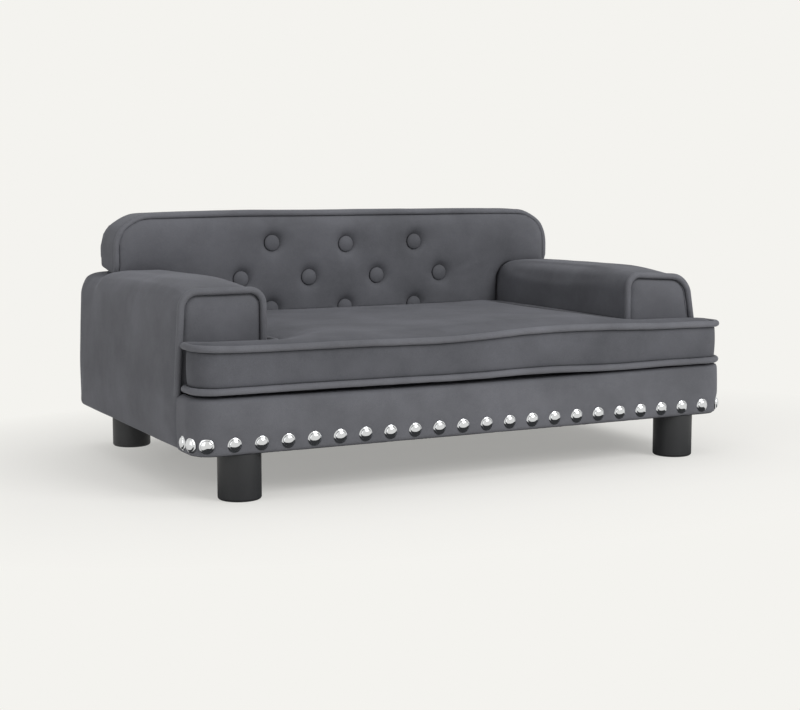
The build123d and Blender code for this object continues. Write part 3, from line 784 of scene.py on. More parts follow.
# The padded face reaches the arms, where it is pressed against them and hides its welt.
faceTee = {
    **backTee,
    "narrow": backTee["narrow"] + back["reachArm"], "step": backTee["step"] - back["reachArm"],
}
backSeam = (backWeltLow.y + backWeltHigh.y) / 2
buttons = {
    "radius": 10.75 * mm, "height": 5 * mm, "side": 1.5 * mm, "sink": -0.5 * mm,
    "columns": (105 * mm, 98 * mm), "counts": (3, 4, 3),
    # the dome: how far in each ring lies, in mm, and its share of the height
    "rings": ((0.6, 0.22), (1.4, 0.25), (2.4, 0.26), (2.6, 0.17), (2.2, 0.1)),
    # sewn by hand, so each sits a little off its mark, in mm
    "shifts": (
        (-0.5, 2), (1.8, -1.4), (0.3, -0.2), (-2.8, -1.4), (-3.8, -1.4), (-1, -1.8), (-2.2, -1),
        (-2.8, 1), (0, 0), (0, 0),
    ),
}


def backSettle(place):
    # The top edge droops towards the ends of the wings and has a shallow hump. The front of each
    # wing sinks into the padding of its arm.
    x, z, side = place.x, place.z, abs(place.x)
    up = smoothStep((z - back["topEdge"]) / (backWeltHigh.z - back["topEdge"]))
    hump = back["hump"] * math.exp(-((x - back["humpAt"]) / back["humpWidth"]) ** 2)
    low = ramp(back["wingHigh"], z, back["wingFade"]) * ramp(z, back["wingLow"], back["wingFade"])
    onWing = smoothStep((side - backTee["narrow"]) / back["fold"] + 1)
    ahead = 1 - smoothStep((place.y - backSeam) / (boxingHigh.y - backSeam))
    droop = back["endDroop"] * (side / backWeltHigh.x) ** 3
    corner = back["leftDroop"] if x < 0 else back["rightDroop"]
    droop += corner * ramp(side, back["droopFrom"], back["droopWidth"])
    tip = ramp(side, back["tipFrom"], back["tipWidth"]) * ramp(back["tipHigh"], z, back["fold"])
    rise = up * (back["lift"] + hump - droop) + back["tipLift"] * tip
    flare = back["rightReach"]
    flare += back["rightFlare"] * ramp(back["flareHigh"], z, back["flareFade"])
    flare *= ramp(x, back["reachFrom"], back["reachWidth"])
    flare -= back["leftReach"] * ramp(-x, back["reachFrom"], back["reachWidth"])
    return flare, 0, rise - back["wingDrop"] * low * onWing * ahead


def buttonPlaces():
    top, bottom = buttonHigh.z - buttons["radius"], buttonLow.z + buttons["radius"]
    places = []
    for row, count in enumerate(buttons["counts"]):
        height = top + (bottom - top) * row / (len(buttons["counts"]) - 1)
        spacing = buttons["columns"][row % 2]
        places += [((column - (count - 1) / 2) * spacing, height) for column in range(count)]
    return [(x + dx * mm, z + dz * mm) for (x, z), (dx, dz) in zip(places, buttons["shifts"])]


def makeBackFace():
    push, inset = (0, -back["slab"], 0), back["seamInset"]
    piece = padFrom("backFace", faceTee, inset, standing, backSeam, push)
    remeshed(piece, back["voxel"])
    seam = outlineOf(teeFace("outline", faceTee, inset), standing)
    crownBy(piece, seam, Vector((0, -1, 0)), back["crown"], back["crownReach"])
    places = buttonPlaces()

    def toButton(place):
        return min(math.hypot(place.x - x, place.z - z) for x, z in places)

    def held(place):
        if place.y > backSeam - back["slab"]:
            return True
        return toButton(place) < buttons["radius"]

    puffed(piece, back["cloth"], held)
    subdivided(piece)
    undulated(piece, back["uneven"], back["unevenSize"], 3)
    for point in piece.data.vertices:
        if point.co.y < backSeam - back["slab"]:
            past = max(toButton(point.co) - back["dimpleFloor"], 0)
            point.co.y += back["dimple"] * math.exp(-past / back["dimpleFall"])
    shaped(piece, backSettle)
    smoothed(piece)
    return handOver(piece, "sofa", "velvet", velvet, "back_face")


def makeBackWelt():
    welt = weltFrom("backWelt", backTee, weltRadius, weltRadius, standing, backSeam)
    tucked = lambda place: smoothStep((back["wingUnderside"] - place.z) / back["tuckFade"] + 1)
    shaped(welt, lambda place: (0, back["tuck"] * tucked(place), 0))
    shaped(welt, backSettle)
    undulated(welt, *weltLumps, 4)
    handOver(welt, "sofa", "welt_velvet", weltHighlightVelvet, "back_welt")


def makeBackBoxing():
    # A wall round the outline that swells between its two seams, thickened inwards.
    depth = boxingHigh.y + back["lap"] - backSeam
    steps = back["boxingSteps"]
    piece = teeFace("backBoxing", backTee, back["boxingInset"])
    shortened(piece, longest["boxing"])
    standing(piece, backSeam)
    emptied(piece)
    pickAll(piece, "EDGE")
    for _ in range(steps):
        extruded(0, depth / steps, 0)
    leaveEdit()
    turnedOut(piece, Vector((0, 0, 1)))
    for point in piece.data.vertices:
        swell = math.sin(math.pi * (point.co.y - backSeam) / depth)
        point.co += point.normal * back["boxingBulge"] * swell
    walled(piece, back["boxing"])
    subdivided(piece)
    undulated(piece, *back["boxingUneven"], 5)
    shaped(piece, backSettle)
    smoothed(piece, 50)
    return handOver(piece, "sofa", "velvet", velvet, "back_boxing")


def makeOutsideBack():
    half = (outsideHigh.x - outsideLow.x) / 2 - back["outsideInset"]
    piece = plateOf("outsideBack", (-half, outsideLow.z), (half, outsideHigh.z))
    roundedCorner(piece, back["radii"][3] - proud, lambda place: place.y > outsideHigh.z - tiny)
    shortened(piece, longest["slab"])
    standing(piece, outsideLow.y - back["outsideLap"])
    thickened(piece, 0, outsideHigh.y - outsideLow.y + back["outsideLap"], 0)
    remeshed(piece, back["voxel"])
    relaxed(piece)
    undulated(piece, *back["outsideUneven"], 6)

    def pinched(place):
        # Under the end of each wing the panel is drawn in, and daylight shows above the arm.
        near = math.exp(-((place.z - back["pinchHeight"]) / back["pinchReach"]) ** 2)
        outer = smoothStep((abs(place.x) - outsideHigh.x) / back["pinchWidth"] + 1)
        return -math.copysign(back["pinch"] * near * outer, place.x), 0, 0

    def settled(place):
        # Below the wings the panel keeps its place between the arms.
        flare, still, rise = backSettle(place)
        return flare * ramp(place.z, back["outsideFree"], back["outsideFade"]), still, rise

    shaped(piece, pinched)
    shaped(piece, settled)
    smoothed(piece)
    return handOver(piece, "sofa", "velvet", velvet, "outside_back")


def makeButtons():
    # One domed button, shaped from a disc and copied to its ten places.
    bpy.ops.mesh.primitive_circle_add(vertices=40, radius=buttons["radius"], fill_type="NGON")
    first = newest("backButtons")
    pickAll(first, "FACE")
    extruded(0, 0, buttons["side"])
    rest = buttons["height"] - buttons["side"]
    for drawnIn, share in buttons["rings"]:
        bpy.ops.mesh.inset(thickness=drawnIn * mm, depth=rest * share)
    leaveEdit()
    first.rotation_euler = (math.pi / 2, 0, 0)
    applyPlace(first)
    outward(first)
    subdivided(first, 2)
    smoothed(first)
    floor = backSeam - buttons["height"] + buttons["sink"]
    copies = []
    for x, z in buttonPlaces():
        button = copyOf(first)
        button.location = (x, floor, z)
        applyPlace(button)
        shaped(button, backSettle)
        copies.append(button)
    bpy.data.objects.remove(first)
    piece = joined(copies, "backButtons")
    return handOver(piece, "sofa", "welt_velvet", velvet, "back_buttons")


makeBackFace()
makeBackWelt()
makeBackBoxing()
makeOutsideBack()
makeButtons()
print("backrest made")


# Arms: velvet over padding, a crowned front panel and its welt
arms = {
    "front": armLow.y, "rear": armHigh.y, "knee": borderHigh.z, "base": borderLow.z,
    "innerRadius": 18 * mm, "kneeRadius": 150 * mm, "steps": 20, "floor": 3 * mm,
    "middle": 0.24, "flat": 0.2, "back": 0.8, "cornerRadius": 16 * mm, "cornerLean": 5 * mm,
    "voxel": 5 * mm, "wall": 7 * mm, "leanHeight": 112 * mm, "lift": 150 * mm, "liftFade": 70 * mm,
    "hem": 0.5 * mm, "inset": 1 * mm, "hold": 4 * mm, "holdTop": 200 * mm, "facingVoxel": 2 * mm,
    "facingUneven": (0.3 * mm, 50 * mm), "weltLumps": (0.2 * mm, 25 * mm),
    # shares of the arm's length and width at which it starts or stops changing
    "quickRise": 0.04, "slumpAcross": 0.6, "slumpAlong": 0.54, "slumpFade": 0.45, "settled": 0.6,
    "pressFront": 7 * mm, "pressRear": 4 * mm, "slump": 11 * mm,
    "uneven": 0.7 * mm, "unevenSize": 120 * mm,
    "seamInset": 3.5 * mm, "facingSlab": 3.5 * mm, "facingCrown": 5 * mm, "facingReach": 6 * mm,
    "cloth": {"stiffness": 12, "bending": 0.8, "pressure": 2.5, "frames": 14, "cap": 2 * mm},
    "left": {
        "side": -1, "lean": 7 * mm, "outerRadius": 20 * mm, "top": 224.5 * mm, "tilt": 0,
        "riseMiddle": 7 * mm, "riseRear": 4.5 * mm, "start": 0.15,
        "narrowing": 6.5 * mm, "outerShift": 0, "straight": 2.2 * mm,
    },
    "right": {
        "side": 1, "lean": 18 * mm, "outerRadius": 26 * mm, "top": 226 * mm, "tilt": 6.5 * mm,
        "riseMiddle": 4.3 * mm, "riseRear": 3.3 * mm, "start": 0.65,
        "narrowing": -2.5 * mm, "outerShift": 2.2 * mm, "straight": 4 * mm,
    },
}


def armFace(name, arm, inset, bottom):
    # Section across an arm, drawn flat on the right: y is its height.
    inner, outer = armLow.x + inset, armHigh.x - inset
    knee, top = max(bottom, arms["knee"]), arm["top"] - inset
    piece = plateOf(name, (inner, knee), (outer, top))
    pick(piece, "VERT", lambda place: place.y > top - tiny and place.x > outer - tiny)
    bpy.ops.transform.translate(value=(-arm["lean"], 0, 0))
    leaveEdit()
    turn = math.atan(arm["lean"] / (top - knee))
    if bottom < knee:
        pick(piece, "VERT", lambda place: place.y < knee + tiny)
        extruded(0, bottom - knee, 0)
        bpy.ops.mesh.select_all(action="SELECT")
        bpy.ops.mesh.dissolve_limited(angle_limit=0.01)
        leaveEdit()
        atKnee = lambda place: abs(place.y - knee) < tiny and place.x > outer - tiny
        roundedCorner(piece, arms["kneeRadius"] * math.tan(turn / 2), atKnee)
    innerTop = lambda place: place.y > top - tiny and place.x < inner + tiny
    outerTop = lambda place: place.y > top - tiny and abs(place.x - outer + arm["lean"]) < tiny
    roundedCorner(piece, arms["innerRadius"] - inset, innerTop)
    outerLength = (arm["outerRadius"] - inset) * math.tan((math.pi / 2 - turn) / 2)
    roundedCorner(piece, outerLength, outerTop)
    return piece


def armSettle(arm):
    # The top rises towards the middle of the arm and tilts down towards its outer side.
    def move(place):
        along = (place.y - arms["front"]) / (arms["rear"] - arms["front"])
        up = ramp(place.z, arms["lift"], arms["liftFade"])
        above = max(place.z - arms["knee"], 0) / arms["leanHeight"]
        across = (place.x - armLow.x) / (armHigh.x - armLow.x)
        if along < arms["middle"]:
            rounded = math.sin(math.pi / 2 * max(along, 0) / arms["middle"])
            start = arm["start"]
            quick = smoothStep(along / arms["quickRise"])
            rise = arm["riseMiddle"] * (start * quick + (1 - start) * rounded)
        else:
            past = min((along - arms["middle"]) / (arms["back"] - arms["middle"]), 1)
            drop = arm["riseMiddle"] - arm["riseRear"]
            rise = arm["riseMiddle"] - drop * (1 - math.cos(math.pi * past)) / 2
        tilt = arm["tilt"] * across * (1 - smoothStep(along / arms["flat"]))
        level = (arm["top"] - arms["left"]["top"]) * smoothStep(along / arms["back"])
        under = smoothStep((place.y - backSeam) / back["fold"] + 1)
        further = smoothStep((place.y - backSeam) / (boxingHigh.y - backSeam))
        press = under * (arms["pressFront"] + (arms["pressRear"] - arms["pressFront"]) * further)
        outer = max(across - arms["slumpAcross"], 0) / (1 - arms["slumpAcross"])
        slump = arms["slump"] * outer ** 2 * ramp(along, arms["slumpAlong"], arms["slumpFade"])
        ahead = 1 - smoothStep(along / arms["settled"])
        shift = (arm["narrowing"] * (1 - across) - arm["outerShift"] * across) * ahead
        shift += arm["straight"] * across * smoothStep(along) * above
        return shift, 0, up * (rise - tilt - level - press - slump)
    return move


def roundedRear(place):
    # The upright rear corner of the arm, from a square one to a round one.
    radius = arms["cornerRadius"]
    lean = arms["cornerLean"] * max(place.z - arms["knee"], 0) / arms["leanHeight"]
    dx = place.x - (armHigh.x - lean - radius)
    dy = place.y - (arms["rear"] - radius)
    if dx <= 0 or dy <= 0:
        return 0, 0, 0
    share = max(dx, dy) / math.hypot(dx, dy) - 1
    return dx * share, dy * share, 0


def mirrored(piece, side):
    if side < 0:
        shaped(piece, lambda place: (-2 * place.x, 0, 0))
        outward(piece)


def cutAway(piece, room):
    applied(piece, "BOOLEAN", {"operation": "DIFFERENCE", "solver": "MANIFOLD", "object": room})
    bpy.data.objects.remove(room)


def makeArmCover(name, side):
    arm = arms[side]
    front, rear, hold = arms["front"] + arms["hem"], arms["rear"], arms["hold"]
    piece = armFace(name, arm, arms["inset"], arms["base"])
    shortened(piece, longest["arm"])
    standing(piece, front)
    thickened(piece, 0, rear - front, 0, arms["steps"])
    remeshed(piece, arms["voxel"])
    shaped(piece, roundedRear)
    shaped(piece, armSettle(arm))

    def held(place):
        underWing = place.y > boxingLow.y and place.z > arms["holdTop"]
        return place.z < arms["base"] + hold or place.y < front + hold or underWing

    puffed(piece, arms["cloth"], held)
    subdivided(piece)
    undulated(piece, arms["uneven"], arms["unevenSize"], 7 + arm["side"])
    wall = arms["wall"]
    room = armFace("room", arm, wall, arms["knee"])
    standing(room, arms["front"] - wall)
    thickened(room, 0, rear - padding - arms["front"] + wall, 0, arms["steps"])
    shaped(room, armSettle(arm))
    cutAway(piece, room)
    low = arms["base"] - wall
    start = (armLow.x - wall, arms["front"] - wall, low)
    end = (armHigh.x - padding, rear - padding, arms["knee"] - arms["floor"])
    cutAway(piece, blockOf("room", start, end))
    start = (armLow.x - wall, rear - padding - tiny, low)
    end = (outsideHigh.x, rear + wall, armHigh.z + wall)
    cutAway(piece, blockOf("room", start, end))
    mirrored(piece, arm["side"])
    smoothed(piece, 50)
    return handOver(piece, "sofa", "velvet", velvet, "arm_cover_" + side)


def makeArmFacing(name, side):
    # Front panel of an arm, crowned inside its welt.
    arm = arms[side]
    piece = armFace(name, arm, arms["seamInset"], arms["knee"] + softGap)
    shortened(piece, longest["band"])
    standing(piece, arms["front"] + padding)
    thickened(piece, 0, arms["facingSlab"] - padding, 0)
    remeshed(piece, arms["facingVoxel"])
    seam = outlineOf(armFace("outline", arm, arms["seamInset"], arms["knee"]), standing)
    crownBy(piece, seam, Vector((0, -1, 0)), arms["facingCrown"], arms["facingReach"])
    relaxed(piece)
    undulated(piece, *arms["facingUneven"], 9)
    shaped(piece, armSettle(arm))
    mirrored(piece, arm["side"])
    smoothed(piece)
    return handOver(piece, "sofa", "velvet", velvet, "arm_facing_" + side)


def makeArmWelt(name, side):
    arm = arms[side]
    bottom = arms["knee"] + softGap
    line = armFace(name, arm, weltRadius - proud, bottom)
    shortened(line, longest["band"])
    emptied(line)
    opened(line, lambda place: place.y < bottom + tiny)
    standing(line, arms["front"] + weltRadius - proud)
    shaped(line, armSettle(arm))
    mirrored(line, arm["side"])
    welt = tubeAlong(line, weltRadius, False)
    undulated(welt, *arms["weltLumps"], 10)
    return handOver(welt, "sofa", "welt_velvet", weltHighlightVelvet, "arm_welt_" + side)


for side in ("left", "right"):
    makeArmCover("armCover" + side.title(), side)
    makeArmFacing("armFacing" + side.title(), side)
    makeArmWelt("armWelt" + side.title(), side)
print("arms made")


# Front border: a padded band round the base, from one arm to the other
border = {
    "radius": 28 * mm, "edge": 5 * mm, "bulge": 1.5 * mm, "rows": 14, "face": 4 * mm,
    "gap": 0.5 * mm,
    "sagMiddle": 0.1 * mm, "sagEnds": -2.4 * mm, "sagFrom": 0.6,
    "nailDepth": 1.1 * mm, "nailReach": 10 * mm, "uneven": 0.35 * mm, "unevenSize": 60 * mm,
}
nails = {
    "radius": 8.2 * mm, "spacing": 31 * mm, "each": 11,
    "cornerSpacing": 19.5 * mm, "corner": 2, "offset": 4.5 * mm, "shank": 1 * mm,
    "shankLength": 14 * mm, "point": 0.2, "sunk": 0.2,
    # outline of the pressed head, from its rim to its middle: reach and height in mm
    "profile": (
        (8.2, 0.4), (7.7, 0.8), (7.0, 1.15), (6.6, 1.3), (6.35, 1.95), (5.9, 2.5), (5.2, 2.95),
        (4.3, 3.35), (3.2, 3.7), (2.0, 3.95), (0.8, 4.05),
    ),
}
borderCorner = Vector((borderHigh.x - border["radius"], borderLow.y + border["radius"]))
nailHeight = (nailLow.z + nailHigh.z) / 2


def borderPlace(along):
    # Place and outward direction at a distance along the border from its middle.
    side = math.copysign(1, along)
    past = max(abs(along) - borderCorner.x, 0)
    angle = min(past / border["radius"], math.pi / 2)
    x = abs(along) - past + border["radius"] * math.sin(angle)
    y = borderCorner.y - border["radius"] * math.cos(angle) + past - border["radius"] * angle
    return Vector((side * x, y)), Vector((side * math.sin(angle), -math.cos(angle)))


def nailPlaces():
    marks = [step * nails["spacing"] for step in range(-nails["each"], nails["each"] + 1)]
    last = nails["each"] * nails["spacing"]
    for turn in range(1, nails["corner"] + 1):
        marks += [side * (last + turn * nails["cornerSpacing"]) for side in (-1, 1)]
    return [borderPlace(mark + nails["offset"]) for mark in marks]


def borderOut(place):
    # Outward direction of the border at a place, and how deep inside its plan the place lies.
    side = math.copysign(1, place.x)
    past = Vector((abs(place.x) - borderCorner.x, place.y - borderCorner.y))
    if past.x < 0:
        return Vector((0, -1)), place.y - borderLow.y
    if past.y > 0:
        return Vector((side, 0)), borderHigh.x - abs(place.x)
    return Vector((side * past.x, past.y)).normalized(), border["radius"] - past.length


def makeFrontBorder():
    height = borderHigh.z - borderLow.z
    end = borderHigh.y - border["gap"]
    piece = plateOf("frontBorder", borderLow, (borderHigh.x, end), borderLow.z)
    roundedCorner(piece, border["radius"], lambda place: place.y < borderLow.y + tiny)
    emptied(piece)
    opened(piece, lambda place: place.y > end - tiny)
    shortened(piece, longest["band"])
    everythingInEdit()
    for _ in range(border["rows"]):
        extruded(0, 0, height / border["rows"])
    leaveEdit()
    turnedOut(piece, Vector((0, -1, 0)))
    walled(piece, padding)
    outward(piece)
    subdivided(piece, 1, "SIMPLE")
    places = [place for place, out in nailPlaces()]

    def settle(place):
        out, inside = borderOut(place)
        share = clamped((place.z - borderLow.z) / height)
        fromEdge = min(share, 1 - share) * height
        onFace = smoothStep(1 - inside / border["face"])
        shift = border["bulge"] * math.sin(math.pi * share)
        if fromEdge < border["edge"]:
            shift -= border["edge"] * (1 - math.sqrt(1 - (1 - fromEdge / border["edge"]) ** 2))
        away = min(math.hypot(place.x - nail.x, place.y - nail.y) for nail in places)
        away = math.hypot(away, place.z - nailHeight)
        shift -= border["nailDepth"] * math.exp(-(away / border["nailReach"]) ** 4)
        across = math.cos(math.pi * place.x / borderHigh.x / 2) ** 2
        sag = border["sagEnds"] + (border["sagMiddle"] - border["sagEnds"]) * across
        sag *= ramp(share, border["sagFrom"], 0.4)
        return out.x * shift * onFace, out.y * shift * onFace, -sag

    shaped(piece, settle)
    undulated(piece, border["uneven"], border["unevenSize"], 11)
    smoothed(piece, 50)
    return handOver(piece, "sofa", "velvet", borderLitVelvet, "front_border")


def makeNails():
    # One domed nail with its rim and shank, shaped from a disc and copied along the border.
    bpy.ops.mesh.primitive_circle_add(vertices=32, radius=nails["radius"], fill_type="NGON")
    first = newest("borderNails")
    pickAll(first, "FACE")
    extruded(0, 0, nails["profile"][0][1] * mm)
    for (radius, low), (reach, high) in zip(nails["profile"], nails["profile"][1:]):
        bpy.ops.mesh.inset(thickness=(radius - reach) * mm, depth=(high - low) * mm)
    leaveEdit()
    pick(first, "FACE", lambda place, normal: place.z < tiny and abs(normal.z) > 0.9)
    bpy.ops.mesh.inset(thickness=nails["radius"] - nails["shank"], depth=0)
    extruded(0, 0, -nails["shankLength"])
    bpy.ops.transform.resize(value=(nails["point"], nails["point"], 1))
    leaveEdit()
    outward(first)
    smoothed(first, 40)
    copies = []
    for place, out in nailPlaces():
        nail = copyOf(first)
        sunk = place - out * border["nailDepth"] * nails["sunk"]
        nail.location = (sunk.x, sunk.y, nailHeight)
        nail.rotation_euler = out.to_3d().to_track_quat("Z", "Y").to_euler()
        applyPlace(nail)
        copies.append(nail)
    bpy.data.objects.remove(first)
    piece = joined(copies, "borderNails")
    return handOver(piece, "sofa", "nail_chrome", chrome, "border_nails")


makeFrontBorder()
makeNails()
print("border and nails made")


sheets = {
    "tuck": 16 * mm,  # how far the seat's velvet runs in under the edge of the back
    "deckRadii": (2 * mm, 0, 2 * mm, 20 * mm), "deckInset": 0.2 * mm, "deckHem": 0.9 * mm,
    "dustRadius": 20 * mm, "dustHem": 0.3 * mm,
}


def makeDeckCover():
    tail = -deckHigh.y - sheets["tuck"]
    tee = teeOf(deckHigh.x, armLow.x, tail, -armLow.y, -deckLow.y, sheets["deckRadii"])
    piece = teeFace("deckCover", tee, sheets["deckInset"])
    shortened(piece, longest["sheet"])
    inPlan(piece, deckLow.z)
    thickened(piece, 0, 0, deckHigh.z - deckLow.z)
    pick(piece, "EDGE", lambda place: place.z > deckHigh.z - tiny)
    bpy.ops.mesh.bevel(offset=sheets["deckHem"], segments=3, profile=0.5)
    leaveEdit()
    smoothed(piece, 40)
    return handOver(piece, "sofa", "velvet", velvet, "deck_cover")


def makeDustCover():
    piece = plateOf("dustCover", dustLow, dustHigh, dustLow.z)
    roundedCorner(piece, sheets["dustRadius"], lambda place: True)
    thickened(piece, 0, 0, dustHigh.z - dustLow.z)
    pickAll(piece, "EDGE")
    bpy.ops.mesh.bevel(offset=sheets["dustHem"], segments=2, profile=0.5)
    leaveEdit()
    smoothed(piece, 40)
    return handOver(piece, "sofa", "underside_cloth", dustCloth, "dust_cover")


makeDeckCover()
makeDustCover()
print("sheets made")


# Zip along the rear of the cushion
zipLook = {
    "pitch": 1.6 * mm, "hem": 0.4 * mm, "tooth": 0.62, "lean": 0.38, "toothEdge": 0.25 * mm,
    "wall": 1.2 * mm, "bridge": 1 * mm, "bridgeInset": 2.4 * mm, "bridgeHalf": 0.6 * mm,
    "overlap": 0.3 * mm, "plateEdge": 0.4 * mm, "wallEdge": 0.3 * mm,
}


def bevelledBlock(name, low, high, edge, segments=2):
    piece = blockOf(name, low, high)
    pickAll(piece, "EDGE")
    bpy.ops.mesh.bevel(offset=edge, segments=segments, profile=0.5)
    leaveEdit()
    smoothed(piece, 40)
    return piece


def makeZip():
    tape = bevelledBlock("zipTape", tapeLow, tapeHigh, zipLook["hem"])
    handOver(tape, "cushion", "zip_tape_cloth", tapeCloth, "zip_tape")
    pitch = zipLook["pitch"]
    high = (coilLow.x + pitch * zipLook["tooth"], coilHigh.y, coilHigh.z)
    coil = bevelledBlock("zipCoil", coilLow, high, zipLook["toothEdge"], 1)
    pick(coil, "VERT", lambda place: place.z > (coilLow.z + coilHigh.z) / 2)
    bpy.ops.transform.translate(value=(pitch * zipLook["lean"], 0, 0))
    leaveEdit()
    applied(coil, "ARRAY", {
        "count": math.floor((coilHigh.x - coilLow.x) / pitch), "use_relative_offset": False,
        "use_constant_offset": True, "constant_offset_displace": (pitch, 0, 0),
    })
    handOver(coil, "cushion", "zip_plastic", nylon, "zip_coil")


def makeZipSlider():
    # A plate with two side walls that hold the coil and a bridge on top.
    wall, half, inset = zipLook["wall"], zipLook["bridgeHalf"], zipLook["bridgeInset"]
    left, right, low, high = sliderLow.x, sliderHigh.x, sliderLow.z, sliderHigh.z
    top = sliderHigh.y - zipLook["bridge"]
    under = top - zipLook["overlap"]
    middle = (low + high) / 2
    plateEdge, wallEdge = zipLook["plateEdge"], zipLook["wallEdge"]
    parts = [bevelledBlock(*settings) for settings in (
        ("zipSlider", (left, top - wall, low), (right, top, high), plateEdge),
        ("wallLow", (left, sliderLow.y, low), (right, under, low + wall), wallEdge),
        ("wallHigh", (left, sliderLow.y, high - wall), (right, under, high), wallEdge),
        (
            "zipBridge", (left + inset, under, middle - half),
            (right - inset, sliderHigh.y, middle + half), plateEdge, 3,
        ),
    )]
    handOver(joined(parts, "zipSlider"), "zip_slider", "zip_metal", lacquer, "zip_slider")


makeZip()
makeZipSlider()
print("zip made")


# Foam blocks inside, and the finishes of the pieces that keep their CAD shape
def makeFoam(name, node, body, squeeze):
    # The tight cover presses the foam down and in, by a share of its size each way.
    piece = copyOf(nodes[node])
    for key in list(piece.keys()):
        del piece[key]
    piece.parent = None
    piece.name = name
    outward(piece)
    low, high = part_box(node)
    base = Vector(((low.x + high.x) / 2, (low.y + high.y) / 2, low.z))
    shaped(piece, lambda place: Vector(squeeze) * (base - place))
    smoothed(piece, 30)
    return handOver(piece, body, "foam", foam, node)


for side in ("left", "right"):
    makeFoam("armFoam" + side.title(), "arm_foam_" + side, "sofa", (0.1, 0.03, 0.35))
makeFoam("backFoam", "back_foam", "sofa", (0.03, 0.08, 0.04))
makeFoam("cushionCore", "cushion_core", "cushion", (0.015, 0.02, 0.14))

finishes = {
    "leg_front_": legPlastic, "leg_rear_": legPlastic, "leg_studs": zinc, "leg_nuts": zinc,
    "deck_screws": zinc, "dust_cover_staples": zinc, "button_ties": twine,
    "base_board": plyFlat, "seat_deck": plyFlat, "back_panel": plyAcross,
    "side_panel_": plySide, "arm_inner_panel_": plySide, "arm_front_panel_": plyAcross,
    "front_rail": pine, "rear_rail": pine, "corner_block_": pine, "side_cleat_": pine,
    "arm_slat_": pine,
}
for name, finish in finishes.items():
    for node in (name + "left", name + "right") if name.endswith("_") else (name,):
        nodes[node].data.materials.clear()
        nodes[node].data.materials.append(finish)
print("foam and finishes made")


# Camera, lights, floor and background
view = {
    "place": (-906.35 * mm, -1759.23 * mm, 353.95 * mm), "pitch": 6.7227, "yaw": -27.4137,
    "lens": 70.63, "background": "#F4F3EF",
}
lamps = (
    {"name": "keyLamp", "place": (1.1, -2.4, 1.9), "size": 1.6, "power": 50},
    {"name": "fillLamp", "place": (-2.5, -0.8, 1.1), "size": 2.0, "power": 11},
    {"name": "topLamp", "place": (-0.2, 0.3, 2.6), "size": 2.2, "power": 13},
)


def makeCamera():
    bpy.ops.object.camera_add(
        location=view["place"],
        rotation=(math.radians(90 - view["pitch"]), 0, math.radians(view["yaw"])),
    )
    camera = bpy.context.object
    camera.data.lens = view["lens"]
    camera.data.sensor_width = 36
    camera.data.clip_start, camera.data.clip_end = 0.05, 60
    bpy.context.scene.camera = camera


def makeLamps():
    for lamp in lamps:
        bpy.ops.object.light_add(type="AREA", location=lamp["place"])
        light = bpy.context.object
        light.name = lamp["name"]
        light.data.energy = lamp["power"]
        light.data.size = lamp["size"]
        aim = Vector((0, 0, 0.15)) - Vector(lamp["place"])
        light.rotation_euler = aim.to_track_quat("-Z", "Y").to_euler()


def seenAsBackground(material):
    # 1 for the rays that see the background's own colour: straight, off gloss or through glass.
    path = addNode(material, "LightPath").node.outputs
    seen = path["Is Camera Ray"]
    for ray in ("Is Glossy Ray", "Is Transmission Ray"):
        seen = addNode(material, "Math", {"operation": "MAXIMUM"}, {0: seen, 1: path[ray]})
    return seen


floorGlow = {
    "stretch": (1, 1.5, 1), "fade": {"From Min": 0.3, "From Max": 0.82, "To Min": 0.37},
}


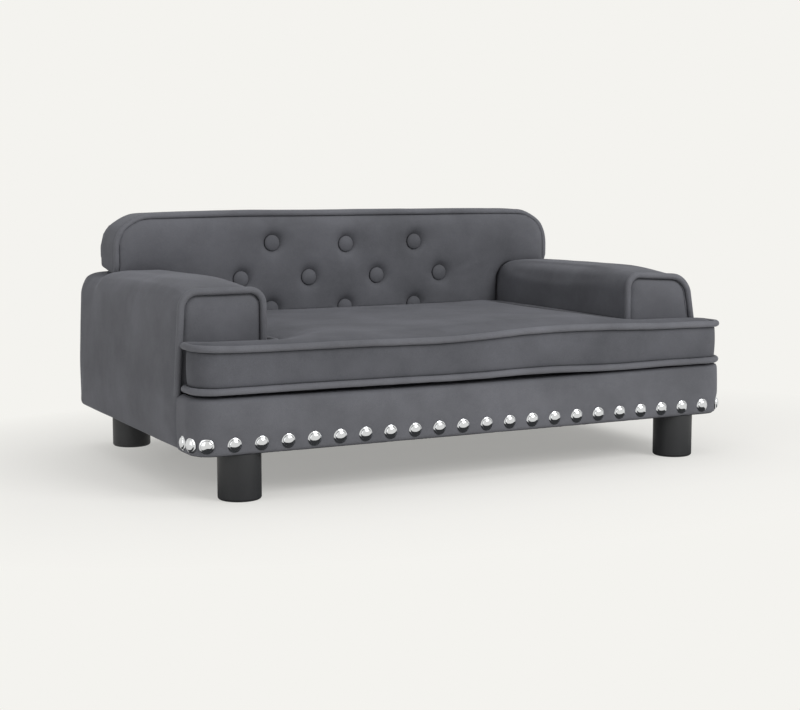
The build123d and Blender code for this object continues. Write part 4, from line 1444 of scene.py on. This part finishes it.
def makeFloor():
    bpy.ops.mesh.primitive_plane_add(size=40)
    floor = newest("studioFloor")
    material = newMaterial("paleFloor")
    # The floor glows as the background does, but less and less towards the sofa.
    place = addNode(material, "TexCoord", give="Object")
    spread = addNode(material, "Mapping", {"Scale": floorGlow["stretch"]}, {"Vector": place})
    distance = addNode(material, "VectorMath", {"operation": "LENGTH"}, {0: spread}, "Value")
    fade = addNode(material, "MapRange", floorGlow["fade"], {"Value": distance})
    links = {0: fade, 1: seenAsBackground(material)}
    seen = addNode(material, "Math", {"operation": "MULTIPLY"}, links)
    paint = {"Base Color": linear("#FDFCF9"), "Roughness": 0.9, "Specular IOR Level": 0.1}
    matt = addNode(material, "BsdfPrincipled", paint)
    glow = addNode(material, "Emission", {"Color": linear(view["background"])})
    mixed = addNode(material, "MixShader", links={0: seen, 1: matt, 2: glow})
    addNode(material, "OutputMaterial", links={"Surface": mixed})
    floor.data.materials.append(material)
    floor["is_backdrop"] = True


# A dark sheet seen only in reflections: a painted dark reflection in the chrome nails.
paintedReflectionCard = {"wide": 0.42, "front": -0.36, "rear": -0.1, "height": 0.5 * mm, "colour": "#3B3C3D"}


def makePaintedReflectionCard():
    # A dark card on the floor, from before the sofa to under its front, seen only in
    # reflections: a painted dark reflection in the chrome nails, glowing its own dark colour.
    wide, front, rear = paintedReflectionCard["wide"], paintedReflectionCard["front"], paintedReflectionCard["rear"]
    card = plateOf("paintedReflectionCard", (-wide, front), (wide, rear), paintedReflectionCard["height"])
    material = newMaterial("paintedReflectionDark")
    glow = addNode(material, "Emission", {"Color": linear(paintedReflectionCard["colour"])})
    addNode(material, "OutputMaterial", links={"Surface": glow})
    card.data.materials.append(material)
    card.visible_camera = card.visible_diffuse = False
    card.visible_transmission = card.visible_shadow = False
    card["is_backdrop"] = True


def makeWorld():
    world = bpy.data.worlds.new("paleStudio")
    bpy.context.scene.world = world
    world.use_nodes = True
    world.node_tree.nodes.clear()
    seen = seenAsBackground(world)
    soft = addNode(world, "Background", {"Color": (1, 1, 1, 1), "Strength": 0.33})
    plain = addNode(world, "Background", {"Color": linear(view["background"])})
    mixed = addNode(world, "MixShader", links={0: seen, 1: soft, 2: plain})
    addNode(world, "OutputWorld", links={"Surface": mixed})


makeCamera()
makeLamps()
makeFloor()
makePaintedReflectionCard()
makeWorld()
bpy.context.scene.view_settings.view_transform = "Standard"
print("stage made")

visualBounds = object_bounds()
boxes = {"cad": cadBounds, "visual": visualBounds}
{name: [list(corner) for corner in box] for name, box in boxes.items()}
